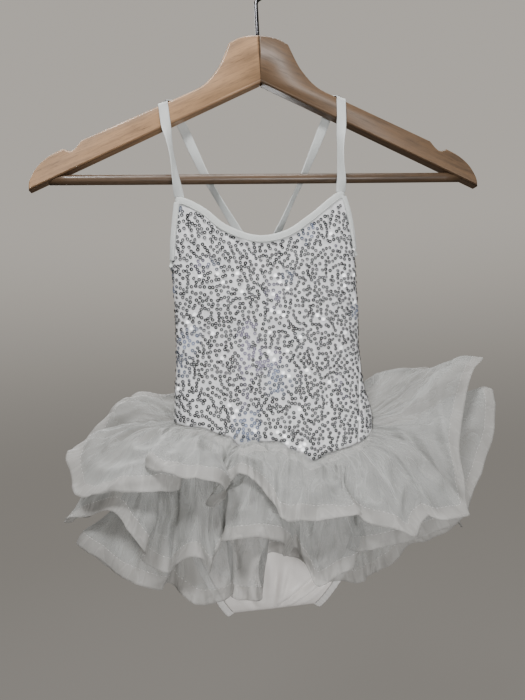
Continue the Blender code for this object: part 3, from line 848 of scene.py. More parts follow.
@dataclass(frozen=True)
class SequinFinish(Finish):
    """Silver cup sequins: rims in painted shade, pale middles, a few painted white with a painted glow as painted
    highlights, faint blue and violet spots.
    """

    # The first two colours are the rims' painted shade, the third the white of the painted highlights.
    painted_rim_shade_deep: Colour = (0.006, 0.006, 0.007)
    painted_rim_shade_soft: Colour = (0.085, 0.087, 0.09)
    painted_highlight_white: Colour = (0.98, 0.985, 1.0)
    blue: Colour = (0.50, 0.62, 0.95)
    violet: Colour = (0.66, 0.58, 0.90)

    def build(self) -> bpy.types.Material:
        """Build the material from the sequins' own ring, tone and tint attributes, with painted shade on the rims and
        painted highlights on a few.
        """
        graph, shader, material = self.start()
        place = graph.add("ShaderNodeTexCoord").outputs["Object"]
        ring = graph.add("ShaderNodeAttribute", attribute_name="ring").outputs["Fac"]
        rim_tone_and_painted_highlight = graph.add("ShaderNodeAttribute", attribute_name="rim_tone_and_painted_highlight").outputs["Fac"]
        tint = graph.add("ShaderNodeAttribute", attribute_name="tint").outputs["Fac"]
        # The rims are painted shade: near-black, lighter by each sequin's random tone.
        painted_rim_shade = graph.mix(graph.spread(rim_tone_and_painted_highlight, 0.15, 0.9, 0.0, 1.0), self.painted_rim_shade_deep, self.painted_rim_shade_soft)
        cold = graph.spread(graph.noise(place, 17.0, 1.0), 0.62, 0.72, 0.0, 0.35)
        warm = graph.spread(graph.noise(place, 21.0, 1.0), 0.63, 0.72, 0.0, 0.3)
        painted_rim_shade = graph.mix(graph.math("MULTIPLY", cold, graph.spread(tint, 0.2, 0.6, 0.2, 1.0)), painted_rim_shade, self.blue)
        painted_rim_shade = graph.mix(graph.math("MULTIPLY", warm, graph.spread(tint, 0.4, 0.8, 0.9, 0.0)), painted_rim_shade, self.violet)
        colour = graph.mix(graph.spread(ring, 0.30, 0.34, 0.0, 1.0), self.colour, painted_rim_shade)
        # A few sequins are painted near-white with a painted glow: painted highlights, the same from every side.
        painted_highlight_share = graph.spread(rim_tone_and_painted_highlight, 0.970, 0.976, 0.0, 1.0)
        graph.feeds(shader, Base_Color=graph.mix(painted_highlight_share, colour, self.painted_highlight_white),
                    Metallic=graph.math("MULTIPLY", graph.spread(ring, 0.30, 0.34, 0.0, 0.1),
                                        graph.math("SUBTRACT", 1.0, painted_highlight_share)),
                    Emission_Color=graph.mix(painted_highlight_share, (0.0, 0.0, 0.0), self.painted_highlight_white), Emission_Strength=0.9)
        return material


@dataclass(frozen=True)
class StudioFinish(Finish):
    """Plain paper with a soft glow of its own, dimmed towards the floor as painted shade; a share of it lights the
    room.
    """

    painted_shade_floor_glow: float = 6.8
    low_m: float = -0.95
    high_m: float = 0.35
    room_share: float = 0.28

    def build(self) -> bpy.types.Material:
        """Build the material: its glow grows with height, painted shade on the lower backdrop."""
        graph, shader, material = self.start()
        place = graph.add("ShaderNodeTexCoord").outputs["Object"]
        split = graph.add("ShaderNodeSeparateXYZ")
        graph.feeds(split, Vector=place)
        # Less glow lower down: painted shade on the lower backdrop.
        glow = graph.spread(split.outputs["Z"], self.low_m, self.high_m, self.painted_shade_floor_glow, self.glow)
        seen = graph.add("ShaderNodeLightPath").outputs["Is Camera Ray"]
        graph.feeds(shader, Base_Color=self.mottled(graph, place, 3.0, 0.02),
                    Emission_Strength=graph.math("MULTIPLY", glow, graph.spread(seen, 0.0, 1.0, self.room_share, 1.0)))
        return material


# The lengths' tones carry painted light and shade: the right arm and the bar are painted darker than the left arm.
WOODS = {
    kind: WoodFinish("hanger_wood_" + kind.name.lower(), tuple(v * kind.value[0] for v in (0.52, 0.315, 0.175)), 0.4,
                     coat=0.2, slope=kind.value[1])
    for kind in Wood
}
HOOK_METAL = MetalFinish("hook_plating", (0.13, 0.13, 0.14), 0.2)
JERSEY = JerseyFinish("bodice_jersey", (0.84, 0.84, 0.855), 0.75, sheen=0.1)
SEQUINS = SequinFinish("cup_sequins", (0.70, 0.705, 0.72), 0.34, specular=0.2)
BINDING = BandFinish("folded_binding", (0.66, 0.685, 0.67), 0.72, sheen=0.2, ribs_per_m=700.0)
STRAP_ELASTIC = BandFinish("strap_elastic", (0.67, 0.695, 0.685), 0.7, sheen=0.1, ribs_per_m=1000.0, rib_depth=0.3)
LEG_ELASTIC = BandFinish("leg_elastic", (0.78, 0.765, 0.745), 0.6, sheen=0.15, ribs_per_m=800.0)
ORGANZA = OrganzaFinish("skirt_organza", (0.46, 0.465, 0.45), 0.55, sheen=0.15)
SATIN = SatinFinish("brief_satin", (0.95, 0.91, 0.875), 0.38, sheen=0.1)
THREAD = Finish("sewing_thread", (0.84, 0.84, 0.83), 0.55, sheen=0.3)
STUDIO = StudioFinish("studio_paper", (0.030, 0.028, 0.0252), 0.95, glow=15.9)


# Repeats made with Geometry Nodes


@dataclass
class RepeatTree:
    """A Geometry Nodes tree that sets one small shape along lines, facing outwards."""

    name: str
    along_line: bool
    tree: bpy.types.NodeTree | None = None
    sockets: dict[str, str] = field(default_factory=dict)

    def build(self) -> None:
        """Build the tree: resample the lines, set the shape, vary it, then make it real."""
        tree = bpy.data.node_groups.new(self.name, "GeometryNodeTree")
        for label, kind in (("Lines", "NodeSocketGeometry"), ("Shape", "NodeSocketObject"),
                            ("Spacing", "NodeSocketFloat"), ("Size", "NodeSocketFloat"),
                            ("Size Change", "NodeSocketFloat"), ("Tilt", "NodeSocketFloat"),
                            ("Seed", "NodeSocketInt"), ("Finish", "NodeSocketMaterial")):
            self.sockets[label] = tree.interface.new_socket(label, in_out="INPUT", socket_type=kind).identifier
        tree.interface.new_socket("Pieces", in_out="OUTPUT", socket_type="NodeSocketGeometry")
        graph = NodeGraph(tree)
        given, result = graph.add("NodeGroupInput"), graph.add("NodeGroupOutput")
        curve = graph.feeds(graph.add("GeometryNodeMeshToCurve"), Mesh=given.outputs["Lines"])
        spaced = graph.add("GeometryNodeResampleCurve", mode="LENGTH")
        graph.feeds(spaced, Curve=curve.outputs[0], Length=given.outputs["Spacing"])
        facing = graph.add("GeometryNodeInputNamedAttribute", data_type="FLOAT_VECTOR")
        facing.inputs["Name"].default_value = "outward"
        turned = graph.add("FunctionNodeAlignRotationToVector", axis="Z")
        graph.feeds(turned, Vector=facing.outputs["Attribute"])
        turn = turned.outputs[0]
        if self.along_line:
            lined = graph.add("FunctionNodeAlignRotationToVector", axis="X", pivot_axis="Z")
            graph.feeds(lined, Rotation=turn, Vector=graph.add("GeometryNodeInputTangent").outputs[0])
            turn = lined.outputs[0]
        tilt = self._random(graph, "FLOAT_VECTOR", given.outputs["Seed"], 1)
        low = graph.add("ShaderNodeVectorMath", operation="SCALE")
        graph.feeds(low, Vector=tilt.outputs[0], Scale=given.outputs["Tilt"])
        leaned = graph.add("FunctionNodeRotateRotation", rotation_space="LOCAL")
        graph.feeds(leaned, Rotation=turn, Rotate_By=low.outputs[0])
        change = self._random(graph, "FLOAT", given.outputs["Seed"], 2)
        size = graph.add("ShaderNodeMath", operation="MULTIPLY_ADD")
        for socket, value in zip(size.inputs, (change.outputs[1], given.outputs["Size Change"], given.outputs["Size"])):
            graph.feed(socket, value)
        shape = graph.feeds(graph.add("GeometryNodeObjectInfo"), Object=given.outputs["Shape"], As_Instance=True)
        placed = graph.add("GeometryNodeInstanceOnPoints")
        graph.feeds(placed, Points=spaced.outputs[0], Instance=shape.outputs["Geometry"], Rotation=leaned.outputs[0],
                    Scale=size.outputs[0])
        pieces = placed.outputs[0]
        # Random per sequin: its rim tone and whether it gets a painted highlight, then a random tint.
        for step, label in ((3, "rim_tone_and_painted_highlight"), (4, "tint")):
            store = graph.add("GeometryNodeStoreNamedAttribute", data_type="FLOAT", domain="INSTANCE")
            store.inputs["Name"].default_value = label
            graph.feeds(store, Geometry=pieces, Value=self._random(graph, "FLOAT", given.outputs["Seed"], step, 0.0).outputs[1])
            pieces = store.outputs[0]
        real = graph.feeds(graph.add("GeometryNodeRealizeInstances"), Geometry=pieces)
        dressed = graph.feeds(graph.add("GeometryNodeSetMaterial"), Geometry=real.outputs[0], Material=given.outputs["Finish"])
        graph.feed(result.inputs[0], dressed.outputs[0])
        self.tree = tree

    @staticmethod
    def _random(graph: NodeGraph, kind: str, seed: bpy.types.NodeSocket, step: int, low: float = -1.0) -> bpy.types.Node:
        """Add seeded random values up to 1.

        Args:
            graph: the tree's graph.
            kind: type of the values.
            seed: the tree's seed.
            step: number added to the seed.
            low: lowest value.

        Returns:
            The node.
        """
        moved = graph.add("ShaderNodeMath", operation="ADD")
        graph.feed(moved.inputs[0], seed)
        moved.inputs[1].default_value = float(step)
        node = graph.add("FunctionNodeRandomValue", data_type=kind)
        if kind == "FLOAT_VECTOR":
            node.inputs[0].default_value = (low, low, low)
        else:
            node.inputs[2].default_value = low
        graph.feed(node.inputs["Seed"], moved.outputs[0])
        return node

    def lay(self, name: str, lines: bpy.types.Mesh, shape: bpy.types.Object, material: bpy.types.Material,
            spacing: float, size: float = 1.0, change: float = 0.0, tilt: float = 0.0, seed: int = 0) -> bpy.types.Mesh:
        """Run the tree once and keep the mesh that it makes.

        Args:
            name: the mesh's name.
            lines: lines with their outward directions.
            shape: the shape that is repeated.
            material: its finish.
            spacing: distance between two shapes.
            size: scale of the shape.
            change: how much the scale varies.
            tilt: most that a shape leans, in degrees.
            seed: seed of what varies.

        Returns:
            The mesh of all the shapes.
        """
        if self.tree is None:
            self.build()
        holder = bpy.data.objects.new(name + "_lines", lines)
        bpy.context.scene.collection.objects.link(holder)
        modifier = holder.modifiers.new("repeat", "NODES")
        modifier.node_group = self.tree
        for label, value in (("Shape", shape), ("Spacing", spacing * MM), ("Size", size), ("Size Change", change),
                             ("Tilt", math.radians(tilt)), ("Seed", seed), ("Finish", material)):
            modifier[self.sockets[label]] = value
        graph = bpy.context.evaluated_depsgraph_get()
        mesh = bpy.data.meshes.new_from_object(holder.evaluated_get(graph), preserve_all_data_layers=True, depsgraph=graph)
        mesh.name = name
        holder.modifiers.remove(modifier)
        bpy.data.objects.remove(holder)
        bpy.data.meshes.remove(lines)
        return mesh


CHAINS = RepeatTree("sequin_chains", along_line=False)
STITCHES = RepeatTree("stitch_rows", along_line=True)


@dataclass
class Notions:
    """Small shapes that the trees repeat: a cup sequin and one stitch."""

    radius: float = 1.8
    cup: float = 0.40
    sides: int = 9
    stitch_length: float = 2.2
    stitch_width: float = 0.42

    def sequin(self) -> bpy.types.Object:
        """Make one cup sequin, closed, with the attribute "ring" from its middle to its rim."""
        shell = bmesh.new()
        ring = shell.verts.layers.float.new("ring")
        middle, under = (shell.verts.new((0.0, 0.0, height * MM)) for height in (0.14, 0.0))
        rows = []
        for share, height in ((0.27, 0.18), (1.0, 0.18 + self.cup)):
            row = []
            for k in range(self.sides):
                turn = 2 * math.pi * (k + share) / self.sides
                spot = shell.verts.new((self.radius * share * math.cos(turn) * MM,
                                        self.radius * share * math.sin(turn) * MM, height * MM))
                spot[ring] = share
                row.append(spot)
            rows.append(row)
        for k in range(self.sides):
            j = (k + 1) % self.sides
            shell.faces.new((middle, rows[0][k], rows[0][j]))
            shell.faces.new((rows[0][k], rows[1][k], rows[1][j], rows[0][j]))
            shell.faces.new((under, rows[1][j], rows[1][k]))
        mesh = bpy.data.meshes.new("sequin_shape")
        shell.to_mesh(mesh)
        shell.free()
        return bpy.data.objects.new("sequin_shape", mesh)

    def stitch(self) -> bpy.types.Object:
        """Make one stitch: a short thread that dips into the cloth at both ends."""
        places = []
        for step in range(5):
            share = step / 4 - 0.5
            places.append(Vector((share * self.stitch_length, 0.0, 0.25 * math.cos(math.pi * share))))
        frames = [BandFrame(place, Vector((0.0, 1.0, 0.0)), Vector((0.0, 0.0, 1.0))) for place in places]
        section = BandSection(self.stitch_width, self.stitch_width, 1.0, 6)
        return bpy.data.objects.new("stitch_shape", sweep_band("stitch_shape", frames, section, False))


# The hanger


@dataclass
class Hanger:
    """Two arms, a bar and a wire hook."""

    thickness: float = 12.0
    edge: float = 1.9
    mitre: float = 0.5
    apex: float = -128.0
    lower_slope: float = 0.472
    bar_radius: float = 4.8
    bar_height: float = -221.3
    bar_half: float = 204.0
    wire_radius: float = 2.0
    hook_radius: float = 22.0
    hook_centre: float = -20.0
    stem_foot: float = -104.0
    bend_radius: float = 6.5
    hook_join: float = -60.0
    hook_tip: float = 205.0
    crown: tuple[Row, ...] = ((0.15, -82.3), (10.0, -83.0), (20.0, -85.5), (29.4, -90.7))
    neck: tuple[Row, ...] = ((29.4, -90.7), (33.1, -99.3), (38.4, -110.5), (44.0, -119.0), (52.2, -128.5),
                             (61.0, -135.0), (78.0, -143.0))
    notch: tuple[Row, ...] = ((172.5, -185.7), (178.0, -192.5), (183.0, -195.6), (189.4, -193.6))
    end: tuple[Row, ...] = ((189.4, -193.6), (200.0, -199.0), (208.0, -204.8), (214.0, -211.0), (218.5, -218.2),
                            (221.3, -225.0), (221.8, -232.2))

    def outline(self, side: Side) -> list[Pair]:
        """Trace one arm's outline.

        Args:
            side: which arm.

        Returns:
            Its points, across and up.
        """
        points: list[Row] = []
        for stretch in (self.crown, self.neck, self.notch, self.end):
            points += [spot for spot in smooth_path(stretch, 4) if not points or spot != points[-1]]
        points.append((0.15, self.apex - self.lower_slope * 0.15))
        return [(side.value * x, z) for x, z in points]

    def arm(self, side: Side) -> bpy.types.Object:
        """Build one arm as a plate with rounded edges."""
        shell = bmesh.new()
        outline = self.outline(side)
        back = [shell.verts.new((x * MM, self.thickness / 2 * MM, z * MM)) for x, z in outline]
        front = [shell.verts.new((x * MM, -self.thickness / 2 * MM, z * MM)) for x, z in outline]
        shell.faces.new(back)
        shell.faces.new(front[::-1])
        count = len(outline)
        for k in range(count):
            j = (k + 1) % count
            shell.faces.new((back[k], front[k], front[j], back[j]))
        bmesh.ops.recalc_face_normals(shell, faces=shell.faces)
        rounding = shell.edges.layers.float.new("bevel_weight_edge")
        for edge in shell.edges:
            flat = abs(edge.verts[0].co.y - edge.verts[1].co.y) < MM
            on_mitre = all(abs(vert.co.x) < self.mitre * MM for vert in edge.verts)
            edge[rounding] = 1.0 if flat and not on_mitre else 0.0
        mesh = bpy.data.meshes.new("arm")
        shell.to_mesh(mesh)
        shell.free()
        kind = Wood.LEFT_ARM if side is Side.LEFT else Wood.RIGHT_ARM
        arm = add_piece("wood_arm_" + side.word, mesh, WOODS[kind].build())
        rounded = arm.modifiers.new("rounded_edges", "BEVEL")
        rounded.width = self.edge * MM
        rounded.segments = 4
        rounded.limit_method = "WEIGHT"
        rounded.use_clamp_overlap = False
        rounded.harden_normals = True
        mesh.shade_smooth()
        return self._ride(arm, "hanger_wood", "hanger_arm_" + side.word)

    def bar(self) -> bpy.types.Object:
        """Build the round bar."""
        frames = []
        steps = 24
        for step in range(steps + 1):
            x = -self.bar_half + 2 * self.bar_half * step / steps
            sag = 0.25 * math.cos(math.pi * x / (2 * self.bar_half))
            frames.append(BandFrame(Vector((x, 0.0, self.bar_height - sag)), Vector((0, 1, 0)), Vector((0, 0, 1))))
        mesh = sweep_band("bar", frames, BandSection(2 * self.bar_radius, 2 * self.bar_radius, 1.0, 32), False)
        return self._ride(add_piece("wood_bar", mesh, WOODS[Wood.BAR].build()), "hanger_wood", "hanger_bar")

    def hook(self) -> bpy.types.Object:
        """Build the wire hook with a rounded tip."""
        heading = math.radians(-self.hook_join)
        join_x = self.hook_radius * math.cos(heading)
        join_z = self.hook_centre - self.hook_radius * math.sin(heading)
        bend_x, bend_z = self.bend_radius * (1 - math.cos(heading)), self.bend_radius * math.sin(heading)
        bend_start = join_z - (join_x - bend_x) / math.tan(heading) - bend_z
        path = [Vector((0.0, 0.0, self.stem_foot)), Vector((0.0, 0.0, (self.stem_foot + bend_start) / 2))]
        for step in range(9):
            turn = heading * step / 8
            path.append(Vector((self.bend_radius * (1 - math.cos(turn)), 0.0,
                                bend_start + self.bend_radius * math.sin(turn))))
        arc_steps = 56
        for step in range(arc_steps + 1):
            turn = math.radians(self.hook_join + (self.hook_tip - self.hook_join) * step / arc_steps)
            path.append(Vector((self.hook_radius * math.cos(turn), 0.0,
                                self.hook_centre + self.hook_radius * math.sin(turn))))
        frames = []
        for index, place in enumerate(path):
            along = (path[min(index + 1, len(path) - 1)] - path[max(index - 1, 0)]).normalized()
            depth = Vector((0.0, 1.0, 0.0))
            frames.append(BandFrame(place, depth, along.cross(depth).normalized()))
        mesh = sweep_band("hook", frames, BandSection(2 * self.wire_radius, 2 * self.wire_radius, 1.0, 20), False)
        return self._ride(add_piece("wire_hook", mesh, HOOK_METAL.build()), "hook_chrome", "hanger_hook")

    @staticmethod
    def _ride(piece: bpy.types.Object, slot: str, node: str) -> bpy.types.Object:
        """Let a piece ride in place of its CAD node."""
        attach(piece, "root")
        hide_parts(node)
        return piece

    def build(self) -> list[bpy.types.Object]:
        """Build the whole hanger."""
        return [self.arm(Side.LEFT), self.arm(Side.RIGHT), self.bar(), self.hook()]


def dress_piece(piece: bpy.types.Object, slot: str, *nodes: str) -> bpy.types.Object:
    """Let a piece ride on the dress, in place of CAD nodes where it stands for any."""
    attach(piece, "root")
    if nodes:
        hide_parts(*nodes)
    return piece


# The bodice


@dataclass
class Bodice:
    """Front and back jersey panels, their bindings, sequins and stitches."""

    columns: int = 120
    rows: int = 110
    wall: float = 0.9
    binding_width: float = 7.2
    binding_thickness: float = 2.9
    armhole_width: float = 6.0
    sequin_pitch: float = 3.55
    room_per_sequin: float = 16.0
    pull_wrinkles: tuple[Row, ...] = (
        (-56.0, -262.0, -34.0, -286.0, 1.5, 2.0), (-44.0, -270.0, -21.0, -296.0, 1.7, 2.1),
        (-36.0, -279.0, -9.0, -306.0, 1.3, 2.2), (-64.0, -296.0, -30.0, -322.0, 0.9, 3.0),
        (46.0, -268.0, 30.0, -300.0, 1.0, 2.6), (66.0, -252.0, 57.0, -292.0, 1.0, 2.4),
        (-80.0, -256.0, -73.0, -302.0, 1.0, 2.4), (20.0, -330.0, 34.0, -400.0, 0.9, 5.0),
        (-60.0, -400.0, -48.0, -452.0, 0.9, 4.0), (52.0, -410.0, 40.0, -470.0, 1.0, 4.0))

    def relief(self, panel: Panel, place: Vector, above_seam: float) -> float:
        """Find how far the jersey stands out of its plain shape.

        Args:
            panel: front or back.
            place: the plain point.
            above_seam: height of the point above the waist seam.

        Returns:
            The distance out.
        """
        soft = 1.1 * noise.noise(place * 0.028) + 0.5 * noise.noise(place * 0.08)
        fine = 0.16 * noise.noise(place * 0.36)
        gather = math.exp(-above_seam / 9.0) * (0.5 * noise.noise(Vector((place.x * 0.3, place.y * 0.3, 4.0))))
        height = soft + fine + gather
        if panel is Panel.FRONT:
            height += pulled(place, self.pull_wrinkles)
        return height

    def panel_grid(self, panel: Panel) -> tuple[Grid, Grid]:
        """Lay out a panel's points.

        Args:
            panel: front or back.

        Returns:
            Rows of points, and the normal at each.
        """
        limits = [FORM.panel_limits(panel, c / self.columns) for c in range(self.columns + 1)]
        grid: Grid = []
        for r in range(self.rows + 1):
            line = []
            for c, (low, high) in enumerate(limits):
                height = low + (high - low) * r / self.rows
                line.append(FORM.panel_point(panel, height, c / self.columns))
            grid.append(line)
        normals = grid_normals(grid, False)
        for r, row in enumerate(grid):
            for c, point in enumerate(row):
                edge = min(c, self.columns - c, 3) / 3
                out = self.relief(panel, point, point.z - limits[c][0])
                row[c] = point + normals[r][c] * out * edge
        return grid, grid_normals(grid, False)

    def panel(self, panel: Panel) -> tuple[bpy.types.Object, Grid, Grid]:
        """Build one jersey panel.

        Args:
            panel: front or back.

        Returns:
            The piece, its points and its normals.
        """
        grid, normals = self.panel_grid(panel)
        mesh = grid_mesh("jersey_" + panel.value, grid, False,
                         lambda r, c: (grid[min(r, self.rows)][min(c, self.columns)].x, grid[r][min(c, self.columns)].z))
        piece = add_wall(add_piece("jersey_" + panel.value, mesh, self.jersey), self.wall)
        dress_piece(piece, "sequinned_jersey", "bodice_" + panel.value)
        return piece, grid, normals

    def chains(self, grid: Grid, normals: Grid, seed: int) -> list[list[tuple[Vector, Vector]]]:
        """Walk meandering chains of sequins over a panel.

        Args:
            grid: the panel's points.
            normals: its normals.
            seed: seed of the walk.

        Returns:
            Lines of points, each with its outward direction.
        """
        rng = random.Random(seed)
        rows, columns = len(grid) - 1, len(grid[0]) - 1
        width = [sum((row[c + 1] - row[c]).length for c in range(columns)) for row in grid]
        height = [sum((grid[r + 1][c] - grid[r][c]).length for r in range(rows)) for c in range(columns + 1)]
        area = sum(width) / len(width) * sum(height) / len(height)
        wanted = int(area / self.room_per_sequin)
        taken: dict[tuple[int, int, int], list[Vector]] = {}
        cell = 3.6

        def spot(u: float, v: float) -> tuple[Vector, Vector]:
            r, c = min(int(v * rows), rows - 1), min(int(u * columns), columns - 1)
            fr, fc = v * rows - r, u * columns - c
            low, high = grid[r][c].lerp(grid[r][c + 1], fc), grid[r + 1][c].lerp(grid[r + 1][c + 1], fc)
            return low.lerp(high, fr), normals[r][c].lerp(normals[r + 1][c + 1], 0.5).normalized()

        def free(place: Vector, room: float, last: Vector | None) -> bool:
            key = [int(math.floor(value / cell)) for value in place]
            for dx in (-1, 0, 1):
                for dy in (-1, 0, 1):
                    for dz in (-1, 0, 1):
                        for other in taken.get((key[0] + dx, key[1] + dy, key[2] + dz), ()):
                            if other is not last and (other - place).length < room:
                                return False
            return True

        def take(place: Vector) -> None:
            taken.setdefault(tuple(int(math.floor(value / cell)) for value in place), []).append(place)

        lines, made = [], 0
        for _ in range(60000):
            if made >= wanted:
                break
            u, v = rng.uniform(0.006, 0.994), rng.uniform(0.008, 0.962)
            place, out = spot(u, v)
            if not free(place, 3.6, None):
                continue
            line = [(place, out)]
            heading, bend = rng.uniform(0.0, 2 * math.pi), rng.gauss(0.0, 0.35)
            for _ in range(rng.randint(1, 5)):
                bend = 0.6 * bend + rng.gauss(0.0, 0.32)
                heading += bend
                c = min(int(u * columns), columns)
                r = min(int(v * rows), rows)
                after = (u + self.sequin_pitch * math.cos(heading) / width[r],
                         v + self.sequin_pitch * math.sin(heading) / height[c])
                if not (0.006 < after[0] < 0.994 and 0.008 < after[1] < 0.962):
                    break
                ahead, ahead_out = spot(*after)
                if not free(ahead, 3.2, line[-1][0]):
                    break
                take(line[-1][0])
                line.append((ahead, ahead_out))
                u, v = after
            if len(line) > 1:
                take(line[-1][0])
                lines.append(line)
                made += len(line)
        return lines

    def sequins(self, panel: Panel, grid: Grid, normals: Grid, shape: bpy.types.Object) -> bpy.types.Object:
        """Sew the sequins on a panel."""
        lift = self.wall / 2 + 0.05
        lines = [[(place + out * lift, out) for place, out in line]
                 for line in self.chains(grid, normals, 11 if panel is Panel.FRONT else 12)]
        mesh = CHAINS.lay("sequins_" + panel.value, path_mesh("sequin_lines", lines), shape, self.sequin_material,
                          self.sequin_pitch * 0.985, 1.0, 0.06, 17.0, 5 if panel is Panel.FRONT else 6)
        piece = add_piece("sequins_" + panel.value, mesh, self.sequin_material)
        LOG.info("%s: %d chains", piece.name, len(lines))
        return dress_piece(piece, "sequinned_jersey")

    def binding(self, panel: Panel) -> tuple[bpy.types.Object, list[tuple[Vector, Vector]]]:
        """Fold the neck binding over a panel's edge.

        Args:
            panel: front or back.

        Returns:
            The piece, and the line that its lower stitches follow.
        """
        steps = 110
        tops = [(step / steps, FORM.panel_limits(panel, step / steps)[1]) for step in range(steps + 1)]
        edge = [FORM.panel_point(panel, high, fraction) for fraction, high in tops]
        frames, sewn = [], []
        for index, (fraction, high) in enumerate(tops):
            low = high - self.binding_width / 2
            out = (FORM.panel_point(panel, low, fraction, 1.0) - FORM.panel_point(panel, low, fraction)).normalized()
            along = (edge[min(index + 1, steps)] - edge[max(index - 1, 0)]).normalized()
            up = along.cross(Vector((0.0, 0.0, 1.0))).cross(along).normalized()
            centre = edge[index] - up * (self.binding_width / 2 - 0.9) + out * 0.9
            frames.append(BandFrame(centre, up, out))
            sewn.append((centre - up * (self.binding_width / 2 - 1.1) + out * (self.binding_thickness / 2 - 0.05), out))
        mesh = sweep_band("neck_band_" + panel.value, frames,
                          BandSection(self.binding_width, self.binding_thickness, 0.5), False)
        node = "neck_binding" if panel is Panel.FRONT else "back_binding"
        piece = dress_piece(add_piece("neck_band_" + panel.value, mesh, self.binding_material), "binding", node)
        return piece, sewn

    def armhole(self, side: Side) -> tuple[bpy.types.Object, list[tuple[Vector, Vector]]]:
        """Fold the binding over one armhole's edge.

        Args:
            side: left or right.

        Returns:
            The piece, and the line that its stitches follow.
        """
        bottom = FORM.side_tops[0 if side is Side.LEFT else 1] + 0.6
        top = (-241.5 if side is Side.LEFT else -237.5) - 3.2
        frames, sewn = [], []
        steps = 40
        for step in range(steps + 1):
            height = bottom + (top - bottom) * step / steps
            start, end = FORM.edges(Panel.FRONT, height)
            if side is Side.RIGHT:
                start, end = end, start
            near = FORM.section_point(height, FORM.angle_at(height, start, end, distance=0.1))
            spot = FORM.angle_at(height, start, end, distance=self.armhole_width / 2 - 0.9)
            far = FORM.section_point(height, FORM.angle_at(height, start, end, distance=self.armhole_width))
            centre, lifted = FORM.section_point(height, spot), FORM.section_point(height, spot, 1.0)
            out = (lifted - centre).normalized()
            across = (far - near).normalized()
            out = (out - across * out.dot(across)).normalized()
            frames.append(BandFrame(centre + out * 0.9, across, out))
            sewn.append((centre + across * (self.armhole_width / 2 - 1.0) + out * (0.9 + self.binding_thickness / 2 - 0.05),
                         out))
        mesh = sweep_band("armhole_band_" + side.word, frames,
                          BandSection(self.armhole_width, self.binding_thickness, 0.5), False)
        piece = dress_piece(add_piece("armhole_band_" + side.word, mesh, self.binding_material), "binding",
                            "armhole_binding_" + side.word)
        return piece, sewn

    def build(self, notions: Notions, materials: dict[str, bpy.types.Material]) -> list[bpy.types.Object]:
        """Build the bodice.

        Args:
            notions: shapes of the sequin and the stitch.
            materials: built finishes by name.

        Returns:
            Its pieces.
        """
        self.jersey, self.sequin_material = materials["jersey"], materials["sequins"]
        self.binding_material = materials["binding"]
        pieces, sewn = [], []
        sequin, stitch = notions.sequin(), notions.stitch()
        for panel in Panel:
            piece, grid, normals = self.panel(panel)
            pieces += [piece, self.sequins(panel, grid, normals, sequin)]
            band, line = self.binding(panel)
            pieces.append(band)
            sewn.append(line)
        for side in Side:
            band, line = self.armhole(side)
            pieces.append(band)
            sewn.append(line)
        mesh = STITCHES.lay("binding_stitches", path_mesh("stitch_lines", sewn), stitch, materials["thread"], 3.1, 1.0,
                            0.08, 4.0, 21)
        pieces.append(dress_piece(add_piece("binding_stitches", mesh, materials["thread"]), "binding"))
        bpy.data.objects.remove(sequin)
        bpy.data.objects.remove(stitch)
        return pieces


# The straps


